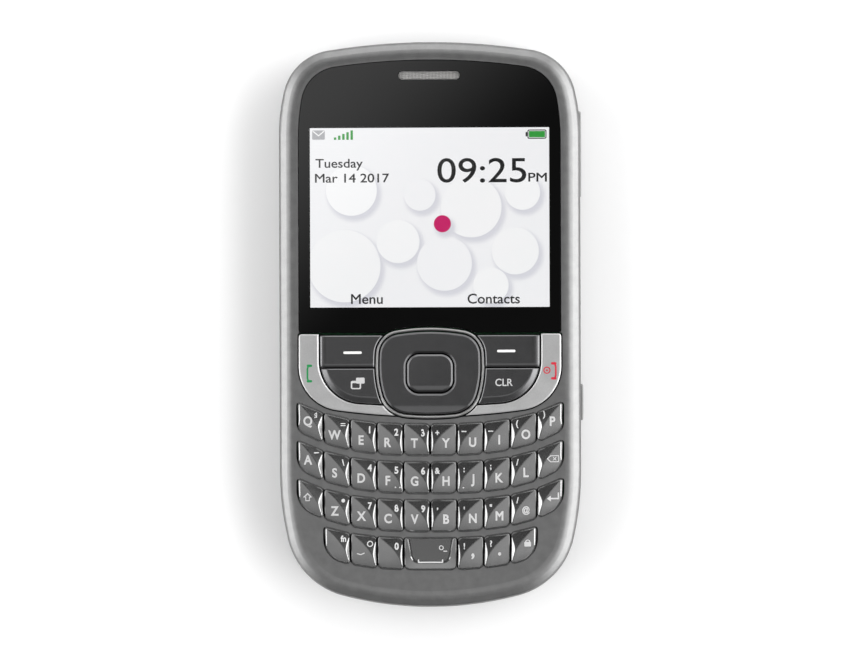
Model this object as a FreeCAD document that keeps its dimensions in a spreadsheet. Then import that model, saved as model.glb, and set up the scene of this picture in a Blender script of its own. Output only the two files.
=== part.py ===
import FreeCAD, Part
import math
import os
import re
import Sketcher

# A slim one-piece phone with a letter keyboard, lying on its back.
# X runs across the phone, Y towards the earpiece, Z out of the screen.
# The origin is the middle of the flat back. All sizes are millimetres.

SIZES = {
    # Body outline: straight sides, each end a shallow arch with rounded corners
    "body_length": 115.5,
    "body_width": 61.6,
    "top_arch": 132.0,
    "top_corner": 10.9,
    "top_side_arc": 37.0,
    "top_side_drop": 18.8,
    "bottom_arch": 70.5,
    "bottom_corner": 15.65,
    "bottom_side_arc": 62.0,
    "bottom_side_drop": 27.8,
    # Rim of the face: a shallow slope, blended into the face and into the side wall
    "rim_slope_width": 2.4,
    "rim_slope_drop": 1.05,
    "rim_upper_round": 4.5,
    "rim_lower_round": 1.0,
    "back_edge_round": 3.5,
    # Walls
    "shell_wall": 1.5,
    "upper_wall": 3.3,
    "upper_wall_depth": 3.0,
    "web_thickness": 1.0,
    "ledge_thickness": 0.8,
    "rear_wall": 2.0,
    "rear_step": 1.1,
    "back_skin": 1.1,
    "plate_thickness": 0.7,
    "plate_clearance": 0.15,
    "seam_gap": 0.15,
    "small_round": 0.3,
    # Display window
    "lens_thickness": 1.2,
    "lens_clearance": 0.08,
    "side_bezel": 4.05,
    "top_bezel": 3.75,
    "lens_arch": 136.0,
    "lens_corner": 8.0,
    "lens_side_arc": 48.0,
    "lens_side_drop": 16.2,
    "lens_foot_y": -1.67,
    "lens_foot_corner": 0.5,
    "lens_chamfer": 0.12,
    # Display
    "active_width": 48.96,
    "active_height": 36.72,
    "active_margin": 0.45,
    "display_centre_y": 21.9,
    "display_width": 53.4,
    "display_height": 42.2,
    "display_thickness": 1.9,
    "display_gap": 0.1,
    "display_frame_lip": 0.25,
    # Earpiece
    "ear_centre_y": 50.85,
    "ear_length": 12.5,
    "ear_width": 1.7,
    "ear_corner": 0.8,
    "ear_clearance": 0.06,
    "ear_recess": 0.25,
    "ear_port_length": 9.5,
    "ear_port_width": 1.0,
    "ear_hole": 0.24,
    "ear_hole_pitch": 0.8,
    "ear_hole_step": 0.34,
    # Keys in the four letter rows
    "key_pitch": 5.435,
    "key_gap": 0.36,
    "key_height": 6.2,
    "key_rise": 0.6,
    "key_chamfer": 0.2,
    "row_pitch": 7.76,
    "row_start_y": -20.4,
    "smile_span": 26.8,
    "smile_top": 4.3,
    "smile_bottom": 4.9,
    "slot_gap": 0.35,
    "slot_overlap": 0.1,
    "flange_thickness": 0.9,
    "flange_lap": 0.2,
    "key_travel_gap": 0.4,
    "top_outer_round": 0.35,
    "top_inner_round": 0.8,
    "bottom_outer_round": 1.1,
    "bottom_inner_round": 0.6,
    "end_round_one": 2.4,
    "end_round_two": 4.0,
    "end_round_three": 5.0,
    "end_round_four": 4.6,
    # Call keys, soft keys and navigation keys above the letter rows
    "cluster_gap": 0.3,
    "cluster_top_y": -1.94,
    "cluster_corner": 0.5,
    "cluster_rise": 0.45,
    "call_bottom_y": -18.74,
    "call_arch": 139.0,
    "call_corner": 9.0,
    "call_side_arc": 16.7,
    "call_side_rise": 7.666,
    "call_flange_lap": 0.15,
    "call_width": 4.0,
    "soft_bottom_y": -16.8,
    "soft_arch": 202.0,
    "soft_corner": 8.9,
    "soft_side_arc": 12.0,
    "soft_side_rise": 8.119,
    "soft_split_y": -8.85,
    "nav_centre_y": -8.47,
    "nav_half_width": 11.1,
    "nav_top": 7.8,
    "nav_top_arch": 41.0,
    "nav_top_corner": 5.0,
    "nav_top_side": 37.0,
    "nav_bottom": 10.7,
    "nav_bottom_arch": 50.0,
    "nav_bottom_corner": 6.2,
    "nav_bottom_side": 20.0,
    "nav_side_start": 0.3,
    "trim_width": 0.55,
    "trim_rise": 0.3,
    "trim_chamfer": 0.15,
    "nav_gap": 0.3,
    "nav_rise": 0.5,
    "nav_chamfer": 0.25,
    "ok_centre_y": -9.95,
    "ok_width": 9.3,
    "ok_height": 7.7,
    "ok_corner": 2.5,
    "ok_gap": 0.35,
    "ok_rise": 0.6,
    # Rubber mat under the keys
    "mat_inset": 3.6,
    "mat_top_y": -2.1,
    "mat_sheet": 0.7,
    "mat_pad_height": 0.6,
    "mat_pad_radius": 1.5,
    "mat_rim": 0.6,
    "call_press_y": -5.0,
    "soft_press_y": -5.6,
    "lower_press_y": -12.0,
    "nav_press_top": 4.2,
    "nav_press_foot": 2.4,
    "nav_press_side": 3.0,
    # Circuit board and what is soldered to it
    "board_inset": 3.3,
    "board_thickness": 0.8,
    "dome_radius": 1.7,
    "dome_height": 0.3,
    "shield_height": 0.9,
    "shield_gap": 0.1,
    "radio_x": -22.5,
    "radio_y": 2.5,
    "radio_width": 17.0,
    "radio_length": 30.0,
    "processor_x": 5.0,
    "processor_y": 22.0,
    "processor_width": 18.0,
    "processor_length": 16.0,
    "power_x": 8.0,
    "power_y": -42.0,
    "power_width": 12.0,
    "power_length": 12.0,
    "microphone_radius": 2.0,
    "motor_radius": 2.6,
    "motor_height": 1.8,
    "motor_x": -9.5,
    "card_width": 24.0,
    "card_length": 15.0,
    "card_y": -14.0,
    "card_rail": 1.0,
    "contact_width": 9.0,
    "contact_depth": 2.2,
    "receiver_depth": 5.6,
    "catch_y": 10.0,
    "catch_length": 5.0,
    # Side keys
    "rocker_y": 34.8,
    "rocker_length": 17.6,
    "rocker_proud": 0.25,
    "camera_key_y": -16.0,
    "camera_key_length": 7.4,
    "camera_key_proud": 0.55,
    "side_key_height": 2.2,
    "side_key_gap": 0.12,
    "side_key_round": 0.25,
    "side_flange": 0.55,
    "side_flange_lap": 0.5,
    "fulcrum_width": 0.8,
    "rocker_play": 0.55,
    "camera_key_play": 0.1,
    "switch_gap": 0.32,
    "switch_depth": 2.4,
    "switch_length": 3.6,
    # Sockets
    "jack_x": 15.0,
    "jack_bore": 1.8,
    "jack_opening": 1.95,
    "jack_rise": 0.6,
    "jack_width": 6.4,
    "jack_body_height": 4.2,
    "jack_length": 9.8,
    "jack_wall": 0.6,
    "jack_setback": 4.7,
    "socket_setback": 0.6,
    "usb_width": 7.5,
    "usb_height": 2.5,
    "usb_length": 5.4,
    "usb_wall": 0.3,
    "usb_tongue_setback": 0.9,
    "usb_tongue_thickness": 0.5,
    "usb_clearance": 0.5,
    "mic_x": 9.0,
    "mic_hole": 0.5,
    # Screws and their bosses
    "screw_side_x": 25.2,
    "screw_upper_y": -0.55,
    "screw_lower_x": 23.0,
    "screw_lower_y": -46.5,
    "screw_radius": 0.7,
    "screw_head_radius": 1.25,
    "screw_head_height": 0.7,
    "screw_head_z": 3.1,
    "screw_length": 6.0,
    "screw_fit": 0.05,
    "boss_radius": 1.15,
    "rear_boss_radius": 1.9,
    "boss_clearance": 0.3,
    # Battery and its cover
    "battery_width": 38.0,
    "battery_length": 54.0,
    "battery_thickness": 3.85,
    "battery_centre_y": -9.0,
    "battery_gap": 0.2,
    "battery_play": 0.3,
    "battery_round": 0.8,
    "bay_wall": 0.9,
    "bay_contact_room": 2.6,
    "cover_wall": 1.3,
    "cover_end_y": 22.0,
    "cover_fit": 0.25,
    "frame_wall": 1.0,
    "frame_foot": 2.5,
    "cover_hook_reach": 0.5,
    "cover_hook_length": 6.0,
    "cover_hook_z": 4.2,
    "cover_hook_height": 0.6,
    "cover_hook_first_y": 4.0,
    "cover_hook_second_y": -18.0,
    "cover_slide": 6.0,
    "cover_tongue_x": 23.5,
    "cover_tongue_width": 5.0,
    "cover_tongue_reach": 2.2,
    "cover_tongue_thickness": 0.7,
    # Camera and loudspeaker in the upper back
    "camera_y": 44.5,
    "camera_square": 8.4,
    "camera_glass_radius": 4.2,
    "camera_glass_thickness": 0.7,
    "camera_glass_recess": 0.1,
    "camera_barrel_radius": 3.0,
    "speaker_x": -16.0,
    "speaker_y": 40.0,
    "speaker_radius": 7.0,
    "speaker_depth": 3.6,
    "speaker_slot_length": 8.0,
    "speaker_slot_width": 0.9,
    "speaker_slot_pitch": 1.9,
    # Thickness of the whole phone: the sum of its layers from the back to the window's face
    "body_thickness":
        "= back_skin + 2 * battery_gap + battery_thickness + seam_gap + plate_thickness"
        " + shield_gap + shield_height + board_thickness + display_thickness + display_gap"
        " + ledge_thickness + lens_thickness",
}

# Heights above the back, as formulas of the sizes
FACE = "body_thickness"
WEB = "(body_thickness - web_thickness)"
LEDGE_TOP = "(body_thickness - lens_thickness)"
LEDGE = "(body_thickness - lens_thickness - ledge_thickness)"
BOARD_TOP = f"({LEDGE} - display_gap - display_thickness)"
BOARD = f"({BOARD_TOP} - board_thickness)"
SEAM = "(back_skin + 2 * battery_gap + battery_thickness + seam_gap)"
PLATE = f"({SEAM} - seam_gap)"
PLATE_TOP = f"({SEAM} + plate_thickness)"
SIDE_KEY_Z = f"({PLATE_TOP} + side_key_gap)"
FLANGE = f"({WEB} - flange_thickness)"
PAD_TOP = f"({FLANGE} - key_travel_gap)"
MAT_TOP = f"({PAD_TOP} - mat_pad_height)"
MAT = f"({MAT_TOP} - mat_sheet)"
JACK_Z = f"({BOARD} + jack_rise)"
SOCKET_Z = f"({BOARD} + board_thickness / 2)"
HALF_WIDTH = "(body_width / 2)"
HALF_LENGTH = "(body_length / 2)"
CONTACT_Y = "(battery_centre_y + battery_length / 2 + battery_play + contact_depth / 2)"

# Letter rows: key names from left to right, and the column of the first key
ROWS = [
    ("q w e r t y u i o p".split(), 0, "end_round_one"),
    ("a s d f g h j k l backspace".split(), 0, "end_round_two"),
    ("shift z x c v b n m at enter".split(), 0, "end_round_three"),
    ("fn symbol zero space comma period lock".split(), 1, "end_round_four"),
]
COLUMNS = 10
WIDE_KEYS = {"space": 2}
EAR_HOLES = 13
SPEAKER_SLOTS = 4
SAME_HEIGHT = 1e-5
LEAST_CUT = 1e-4
ROUND_SHARE = 0.99

document = FreeCAD.newDocument("Phone")
sheet = document.addObject("Spreadsheet::Sheet", "Sizes")
for line, (alias, value) in enumerate(SIZES.items(), start=1):
    sheet.set(f"A{line}", alias.replace("_", " "))
    sheet.set(f"B{line}", str(value))
    sheet.setAlias(f"B{line}", alias)
document.recompute()

finished = []


def formula(text):
    """A formula in plain size names, written so that it reads the size sheet."""
    def on_sheet(match):
        name = match.group()
        return f"Sizes.{name}" if name in SIZES else name

    return re.sub(r"[a-z][a-z_]+", on_sheet, text)


def number(text):
    """The value that a formula has now."""
    return float(sheet.evalExpression(formula(text)))


def bind(target, name, text):
    target.setExpression(name, formula(text))


def new_body(label):
    body = document.addObject("PartDesign::Body", label)
    body.Label = label
    return body


def new_sketch(body, height="0", plane="XY_Plane"):
    """A sketch on one of the body's own planes, raised along the plane's normal."""
    sketch = body.newObject("Sketcher::SketchObject", "Sketch")
    origin_plane = next(part for part in body.Origin.OriginFeatures if part.Role == plane)
    sketch.AttachmentSupport = [(origin_plane, "")]
    sketch.MapMode = "FlatFace"
    bind(sketch, "AttachmentOffset.Base.z", height)
    return sketch


def add_constraints(sketch, plain, sized):
    """Geometric constraints, then dimensions that follow the size sheet."""
    sketch.addConstraint(plain)
    for arguments, text in sized:
        index = sketch.addConstraint(Sketcher.Constraint(*arguments, number(text)))
        bind(sketch, f"Constraints[{index}]", text)


def tangent_chain(first, count):
    """Constraints that join geometry first, first + 1 and so on into one smooth loop."""
    return [
        Sketcher.Constraint("Tangent", first + i, 2, first + (i + 1) % count, 1)
        for i in range(count)
    ]


def arc(centre, radius, start, end):
    circle = Part.Circle(FreeCAD.Vector(centre[0], centre[1], 0), FreeCAD.Vector(0, 0, 1), radius)
    return Part.ArcOfCircle(circle, start, end)


def segment(start, end):
    return Part.LineSegment(FreeCAD.Vector(start[0], start[1], 0), FreeCAD.Vector(end[0], end[1], 0))


def arch_geometry(half_width, end, inset, sign):
    """Centres and radii of the side arc, the corner arc and the arch at one end."""
    end_y, arch_radius, corner, side_radius, side_y = (number(text) for text in end)
    end_y *= sign
    side_y *= sign
    side_centre = (half_width - side_radius, side_y)
    arch_centre = (0.0, end_y - arch_radius)
    across = (side_centre[0] - arch_centre[0], side_centre[1] - arch_centre[1])
    apart = math.hypot(*across)
    along = ((arch_radius - corner) ** 2 - (side_radius - corner) ** 2 + apart ** 2) / (2 * apart)
    aside = math.sqrt((arch_radius - corner) ** 2 - along ** 2)
    unit = (across[0] / apart, across[1] / apart)
    corner_centre = (
        arch_centre[0] + along * unit[0] + aside * unit[1],
        arch_centre[1] + along * unit[1] - aside * unit[0],
    )
    side_angle = math.atan2(corner_centre[1] - side_centre[1], corner_centre[0] - side_centre[0])
    arch_angle = math.atan2(corner_centre[1] - arch_centre[1], corner_centre[0] - arch_centre[0])
    radii = (side_radius - inset, corner - inset, arch_radius - inset)
    return (side_centre, corner_centre, arch_centre), radii, (side_angle, arch_angle)


def end_elements(half_width, end, inset, sign):
    """Arcs and lines of one end, from right to left for the top end (sign 1),
    and from left to right for the bottom end (sign -1)."""
    if len(end) == 2:
        end_y, corner = number(end[0]), number(end[1])
        x_edge = half_width - inset
        turn = 0.5 * math.pi * (1 - sign)
        middle = turn + 0.5 * math.pi
        corner_x = (x_edge - corner) * sign
        corner_y = end_y - sign * corner
        first = arc((corner_x, corner_y), corner, turn, middle)
        flat = segment((corner_x, end_y), (-corner_x, end_y))
        last = arc((-corner_x, corner_y), corner, middle, turn + math.pi)
        return [first, flat, last]
    centres, radii, angles = arch_geometry(half_width, end, inset, sign)
    stops = [0.0, angles[0], angles[1], math.pi - angles[1], math.pi - angles[0], math.pi]
    turn = 0.0 if sign > 0 else math.pi
    elements = []
    for place, which in enumerate((0, 1, 2, 1, 0)):
        x, y = centres[which]
        if place > 2:
            x = -x
        start, stop = turn + stops[place], turn + stops[place + 1]
        elements.append(arc((sign * x, sign * y), radii[which], start, stop))
    return elements


def smooth_outline(sketch, half_width, top, bottom, inset="0"):
    """A closed outline with straight sides. Each end is an arch, given as its height, arch radius,
    corner radius, side radius and start of the side arc, or flat, given as its height and corner radius."""
    reach = number(half_width)
    step = number(inset)
    edge = reach - step
    upper = end_elements(reach, top, step, 1)
    lower = end_elements(reach, bottom, step, -1)
    right_start, right_end = lower[-1].EndPoint, upper[0].StartPoint
    left_start, left_end = upper[-1].EndPoint, lower[0].StartPoint
    elements = [segment((edge, right_start.y), (edge, right_end.y))] + upper
    elements += [segment((-edge, left_start.y), (-edge, left_end.y))] + lower
    first = sketch.addGeometry(elements, False)[0]
    left = first + 1 + len(upper)
    plain = tangent_chain(first, len(elements))
    plain += [Sketcher.Constraint("Vertical", first), Sketcher.Constraint("Vertical", left)]
    sized = [
        (("DistanceX", -1, 1, first, 1), f"{half_width} - ({inset})"),
        (("DistanceX", -1, 1, left, 1), f"-({half_width} - ({inset}))"),
    ]
    for start, end in ((first + 1, top), (left + 1, bottom)):
        if len(end) == 2:
            plain.append(Sketcher.Constraint("Horizontal", start + 1))
            sized += [(("Radius", start), end[1]), (("Radius", start + 2), end[1])]
            sized.append((("DistanceY", -1, 1, start + 1, 1), end[0]))
            continue
        inward = "-" if start == first + 1 else "+"
        end_y, arch_radius, corner, side_radius, side_y = end
        for offset, radius in enumerate((side_radius, corner, arch_radius, corner, side_radius)):
            sized.append((("Radius", start + offset), f"{radius} - ({inset})"))
        sized.append((("DistanceX", -1, 1, start + 2, 3), "0"))
        sized.append((("DistanceY", -1, 1, start + 2, 3), f"{end_y} {inward} {arch_radius}"))
        sized.append((("DistanceY", -1, 1, start, 3), side_y))
        sized.append((("DistanceY", -1, 1, start + 4, 3), side_y))
    add_constraints(sketch, plain, sized)


def polygon(sketch, corners):
    """A closed outline through corners (x, y, radius), anticlockwise; the radius None is a sharp corner."""
    spots = [(number(x), number(y)) for x, y, _ in corners]
    total = len(corners)
    cut_in, cut_out, bends = [], [], []
    for i, (_, _, radius) in enumerate(corners):
        before, here, after = spots[i - 1], spots[i], spots[(i + 1) % total]
        if radius is None:
            cut_in.append(here)
            cut_out.append(here)
            bends.append(None)
            continue
        size = number(radius)
        arrive = math.atan2(here[1] - before[1], here[0] - before[0])
        leave = math.atan2(after[1] - here[1], after[0] - here[0])
        turn = (leave - arrive) % (2 * math.pi)
        back = size * math.tan(turn / 2)
        cut_in.append((here[0] - back * math.cos(arrive), here[1] - back * math.sin(arrive)))
        cut_out.append((here[0] + back * math.cos(leave), here[1] + back * math.sin(leave)))
        centre = (cut_in[-1][0] - size * math.sin(arrive), cut_in[-1][1] + size * math.cos(arrive))
        bends.append(arc(centre, size, arrive - math.pi / 2, arrive - math.pi / 2 + turn))
    sides = [segment(cut_out[i - 1], cut_in[i]) for i in range(total)]
    side = sketch.addGeometry(sides, False)
    plain, sized = [], []
    for i, (x, y, radius) in enumerate(corners):
        incoming, outgoing = side[i], side[(i + 1) % total]
        if radius is None:
            plain.append(Sketcher.Constraint("Coincident", incoming, 2, outgoing, 1))
            sized.append((("DistanceX", -1, 1, incoming, 2), x))
            sized.append((("DistanceY", -1, 1, incoming, 2), y))
            continue
        bend = sketch.addGeometry(bends[i], False)
        corner = sketch.addGeometry(Part.Point(FreeCAD.Vector(spots[i][0], spots[i][1], 0)), True)
        plain.append(Sketcher.Constraint("Tangent", incoming, 2, bend, 1))
        plain.append(Sketcher.Constraint("Tangent", bend, 2, outgoing, 1))
        plain.append(Sketcher.Constraint("PointOnObject", corner, 1, incoming))
        plain.append(Sketcher.Constraint("PointOnObject", corner, 1, outgoing))
        sized.append((("DistanceX", -1, 1, corner, 1), x))
        sized.append((("DistanceY", -1, 1, corner, 1), y))
        sized.append((("Radius", bend), radius))
    add_constraints(sketch, plain, sized)


def rectangle(sketch, left, right, low, high, radius=None):
    corners = ((left, low), (right, low), (right, high), (left, high))
    polygon(sketch, [(x, y, radius) for x, y in corners])


def centred_rectangle(sketch, x, y, width, height, radius=None):
    half_x, half_y = f"({width}) / 2", f"({height}) / 2"
    rectangle(sketch, f"{x} - {half_x}", f"{x} + {half_x}", f"{y} - {half_y}", f"{y} + {half_y}", radius)


def circles(sketch, centres, radius):
    for x, y in centres:
        spot = FreeCAD.Vector(number(x), number(y), 0)
        ring = sketch.addGeometry(Part.Circle(spot, FreeCAD.Vector(0, 0, 1), number(radius)), False)
        sized = [
            (("DistanceX", -1, 1, ring, 3), x),
            (("DistanceY", -1, 1, ring, 3), y),
            (("Radius", ring), radius),
        ]
        add_constraints(sketch, [], sized)


def pad(body, sketch, height):
    """Add the sketch's area to the body, upwards from the sketch."""
    feature = body.newObject("PartDesign::Pad", "Pad")
    feature.Profile = sketch
    bind(feature, "Length", height)
    return feature


def pocket(body, sketch, depth, away=True):
    """Cut the sketch's area out of the body, along the sketch's normal or against it."""
    feature = body.newObject("PartDesign::Pocket", "Pocket")
    feature.Profile = sketch
    feature.Reversed = away
    bind(feature, "Length", depth)
    return feature


def edges_at(feature, level):
    """Names of the feature's edges that lie flat at one height."""
    document.recompute()
    names = []
    for i, edge in enumerate(feature.Shape.Edges, start=1):
        box = edge.BoundBox
        if abs(box.ZMin - level) < SAME_HEIGHT and abs(box.ZMax - level) < SAME_HEIGHT:
            names.append(f"Edge{i}")
    return names


def dress(body, kind, feature, height, size):
    """Round or chamfer every edge that lies at one height."""
    names = edges_at(feature, number(height))
    finish = body.newObject(f"PartDesign::{kind}", kind)
    finish.Base = (feature, names)
    bind(finish, "Radius" if kind == "Fillet" else "Size", size)
    return finish


def block(label, low, size):
    """A plain box from its lowest corner and its size."""
    box = document.addObject("Part::Box", label)
    for name, text in zip(("Length", "Width", "Height"), size):
        bind(box, name, text)
    for name, text in zip("xyz", low):
        bind(box, f"Placement.Base.{name}", text)
    return box


def peg(label, x, y, z, radius, height):
    """A plain upright cylinder from the middle of its foot."""
    cylinder = document.addObject("Part::Cylinder", label)
    bind(cylinder, "Radius", radius)
    bind(cylinder, "Height", height)
    for name, text in zip("xyz", (x, y, z)):
        bind(cylinder, f"Placement.Base.{name}", text)
    return cylinder


def cut(label, base, tool):
    result = document.addObject("Part::Cut", label)
    result.Base = base
    result.Tool = tool
    return result


def group(label, pieces):
    """Separate solids that belong to one sub-part."""
    result = document.addObject("Part::Compound", label)
    result.Links = pieces
    return result


# Outlines that several pieces share

BODY_TOP = (HALF_LENGTH, "top_arch", "top_corner", "top_side_arc", f"{HALF_LENGTH} - top_side_drop")
BODY_BOTTOM = (
    f"-{HALF_LENGTH}", "bottom_arch", "bottom_corner", "bottom_side_arc",
    f"-{HALF_LENGTH} + bottom_side_drop",
)
LENS_HALF = f"({HALF_WIDTH} - side_bezel)"
LENS_TOP_Y = f"({HALF_LENGTH} - top_bezel)"
LENS_TOP = (LENS_TOP_Y, "lens_arch", "lens_corner", "lens_side_arc", f"{LENS_TOP_Y} - lens_side_drop")
LENS_FOOT = ("lens_foot_y", "lens_foot_corner")
CALL_SIDE_Y = f"(call_bottom_y + call_side_rise + pow({LENS_HALF}; 2) / (2 * call_arch))"
CALL_END = ("call_bottom_y", "call_arch", "call_corner", "call_side_arc", CALL_SIDE_Y)
SOFT_HALF = f"({LENS_HALF} - call_width)"
SOFT_SIDE_Y = f"(soft_bottom_y + soft_side_rise + pow({SOFT_HALF}; 2) / (2 * soft_arch))"
SOFT_END = ("soft_bottom_y", "soft_arch", "soft_corner", "soft_side_arc", SOFT_SIDE_Y)
NAV_TOP = (
    "nav_centre_y + nav_top", "nav_top_arch", "nav_top_corner", "nav_top_side",
    "nav_centre_y + nav_side_start",
)
NAV_BOTTOM = (
    "nav_centre_y - nav_bottom", "nav_bottom_arch", "nav_bottom_corner", "nav_bottom_side",
    "nav_centre_y - nav_side_start",
)


def body_outline(sketch, inset="0"):
    smooth_outline(sketch, HALF_WIDTH, BODY_TOP, BODY_BOTTOM, inset)


def lower_outline(sketch, top_y, inset):
    """The body outline below one height, with a flat upper end."""
    smooth_outline(sketch, HALF_WIDTH, (top_y, "small_round"), BODY_BOTTOM, inset)


def upper_outline(sketch, foot_y, inset):
    """The body outline above one height, with a flat lower end."""
    smooth_outline(sketch, HALF_WIDTH, BODY_TOP, (foot_y, "small_round"), inset)


def nav_outline(sketch, inset="0"):
    smooth_outline(sketch, "nav_half_width", NAV_TOP, NAV_BOTTOM, inset)


def ok_outline(sketch, grow="0"):
    centred_rectangle(
        sketch, "0", "ok_centre_y", f"ok_width + 2 * ({grow})", f"ok_height + 2 * ({grow})",
        f"ok_corner + ({grow})",
    )


def view_outline(sketch, radius=None):
    """The opening over the lit area of the display, with a margin all round."""
    centred_rectangle(
        sketch, "0", "display_centre_y", "active_width + 2 * active_margin",
        "active_height + 2 * active_margin", radius,
    )


def back_block(body, cut_from, cut_to):
    """The rounded back of the phone up to the middle plate, without what lies between two lines."""
    outline = new_sketch(body)
    body_outline(outline)
    solid = pad(body, outline, PLATE)
    dress(body, "Fillet", solid, "0", "back_edge_round")
    other_side = new_sketch(body)
    rectangle(other_side, "-body_width", "body_width", cut_from, cut_to)
    pocket(body, other_side, "body_thickness")


# Letter keys

def smile(x, rise):
    """How far a row's edge climbs towards the side of the phone."""
    return f"{rise} * pow(abs({x}) / smile_span; 3)"


def widest_round(end_round):
    """An end key's foot radius, no larger than the key's own width allows."""
    return f"min({end_round}; {ROUND_SHARE} * (key_pitch - key_gap))"


def key_columns():
    """Each letter key as (name, row, first column, columns taken, end radius)."""
    for row, (names, column, end_round) in enumerate(ROWS):
        for place, name in enumerate(names):
            taken = WIDE_KEYS.get(name, 1)
            at_end = place in (0, len(names) - 1)
            yield name, row, column, taken, widest_round(end_round) if at_end else None
            column += taken


def key_centre(row, column, taken):
    x = f"({column - COLUMNS / 2} + {taken} / 2) * key_pitch"
    return x, f"row_start_y - {row} * row_pitch - key_height / 2 + {smile(x, 'smile_top')}"


def key_corners(row, column, taken, end_round, grow_x="0", grow_y="0", grow_end="0", grow_round="0"):
    """Corners of a key's outline, its radii larger on the side that faces the phone's edge."""
    left_half = column + taken / 2 < COLUMNS / 2
    right_half = column + taken / 2 > COLUMNS / 2
    left_grow = grow_end if end_round and left_half else grow_x
    right_grow = grow_end if end_round and right_half else grow_x
    left = f"{column - COLUMNS / 2} * key_pitch + key_gap / 2 - ({left_grow})"
    right = f"{column + taken - COLUMNS / 2} * key_pitch - key_gap / 2 + ({right_grow})"
    low = f"row_start_y - {row} * row_pitch - key_height - ({grow_y})"
    high = f"row_start_y - {row} * row_pitch + ({grow_y})"
    outer_foot = end_round or "bottom_outer_round"
    left_foot = "bottom_inner_round" if right_half else outer_foot
    right_foot = "bottom_inner_round" if left_half else outer_foot
    left_head = "top_inner_round" if right_half else "top_outer_round"
    right_head = "top_inner_round" if left_half else "top_outer_round"
    return [
        (left, f"{low} + {smile(left, 'smile_bottom')}", f"{left_foot} + ({grow_round})"),
        (right, f"{low} + {smile(right, 'smile_bottom')}", f"{right_foot} + ({grow_round})"),
        (right, f"{high} + {smile(right, 'smile_top')}", f"{right_head} + ({grow_round})"),
        (left, f"{high} + {smile(left, 'smile_top')}", f"{left_head} + ({grow_round})"),
    ]


def make_letter_key(name, row, column, taken, end_round):
    """A hard cap on a flange that the front housing's webs hold in."""
    body = new_body(f"key_{name}")
    base = new_sketch(body, FLANGE)
    polygon(base, key_corners(row, column, taken, end_round, grow_y="slot_gap + flange_lap"))
    pad(body, base, "flange_thickness")
    cap = new_sketch(body, WEB)
    polygon(cap, key_corners(row, column, taken, end_round))
    raised = pad(body, cap, "web_thickness + key_rise")
    dress(body, "Chamfer", raised, f"{FACE} + key_rise", "key_chamfer")
    finished.append(body)


# Call keys, soft keys and navigation keys

def make_cluster_key(label, side, half_width, end, inset, high=None, low=None, inner=False):
    """A key of the cluster: one half of a U or of the area inside it, cut round the navigation ring."""
    body = new_body(label)
    flat_top = ("cluster_top_y", "cluster_corner")
    if inner:
        base = new_sketch(body, FLANGE)
        smooth_outline(base, half_width, flat_top, end, f"{inset} - call_flange_lap - cluster_gap")
        pad(body, base, "flange_thickness")
    plate = new_sketch(body, FLANGE)
    smooth_outline(plate, half_width, flat_top, end, inset)
    raised = pad(body, plate, "flange_thickness + web_thickness + cluster_rise")
    cuts = []
    centre_line = "0"
    if side == "left":
        cuts.append((centre_line, "body_width", "-body_length", "body_length"))
    else:
        cuts.append(("-body_width", centre_line, "-body_length", "body_length"))
    if high:
        cuts.append(("-body_width", "body_width", high, "body_length"))
    if low:
        cuts.append(("-body_width", "body_width", "-body_length", low))
    for left, right, bottom, top in cuts:
        area = new_sketch(body, FLANGE)
        rectangle(area, left, right, bottom, top)
        raised = pocket(body, area, "body_thickness")
    if inner:
        area = new_sketch(body, FLANGE)
        smooth_outline(area, SOFT_HALF, ("body_length / 2", "cluster_corner"), SOFT_END, "0")
        raised = pocket(body, area, "body_thickness")
    ring = new_sketch(body, FLANGE)
    nav_outline(ring, "-nav_gap")
    raised = pocket(body, ring, "body_thickness")
    dress(body, "Chamfer", raised, f"{FACE} + cluster_rise", "key_chamfer")
    finished.append(body)


def make_call_and_soft_keys():
    for side, call, soft, under in (
        ("left", "send_key", "left_soft_key", "recents_key"),
        ("right", "end_key", "right_soft_key", "clear_key"),
    ):
        make_cluster_key(call, side, LENS_HALF, CALL_END, "0", inner=True)
        make_cluster_key(soft, side, SOFT_HALF, SOFT_END, "cluster_gap", low="soft_split_y + cluster_gap / 2")
        make_cluster_key(
            under, side, SOFT_HALF, SOFT_END, "cluster_gap", high="soft_split_y - cluster_gap / 2",
        )


def make_nav_trim():
    body = new_body("nav_trim")
    ring = new_sketch(body, MAT_TOP)
    nav_outline(ring)
    nav_outline(ring, "trim_width")
    raised = pad(body, ring, f"{FACE} + trim_rise - {MAT_TOP}")
    dress(body, "Chamfer", raised, f"{FACE} + trim_rise", "trim_chamfer")
    finished.append(body)


def make_nav_pad():
    body = new_body("nav_pad")
    plate = new_sketch(body, FLANGE)
    nav_outline(plate, "trim_width + nav_gap")
    ok_outline(plate, "ok_gap")
    raised = pad(body, plate, f"{FACE} + nav_rise - {FLANGE}")
    dress(body, "Chamfer", raised, f"{FACE} + nav_rise", "nav_chamfer")
    finished.append(body)


def make_ok_key():
    body = new_body("ok_key")
    plate = new_sketch(body, FLANGE)
    ok_outline(plate)
    raised = pad(body, plate, f"{FACE} + ok_rise - {FLANGE}")
    dress(body, "Chamfer", raised, f"{FACE} + ok_rise", "nav_chamfer")
    finished.append(body)


# Rubber mat

CALL_PADS = [(f"{side}({LENS_HALF} - call_width / 2)", "call_press_y") for side in ("-", "")]
SOFT_PADS = [
    (f"{side}({SOFT_HALF} + nav_half_width) / 2", y)
    for side in ("-", "") for y in ("soft_press_y", "lower_press_y")
]
NAV_PADS = [
    ("0", "nav_centre_y + nav_top - nav_press_top"), ("0", "nav_centre_y - nav_bottom + nav_press_foot"),
    ("nav_press_side - nav_half_width", "ok_centre_y"), ("nav_half_width - nav_press_side", "ok_centre_y"),
    ("0", "ok_centre_y"),
]


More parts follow.
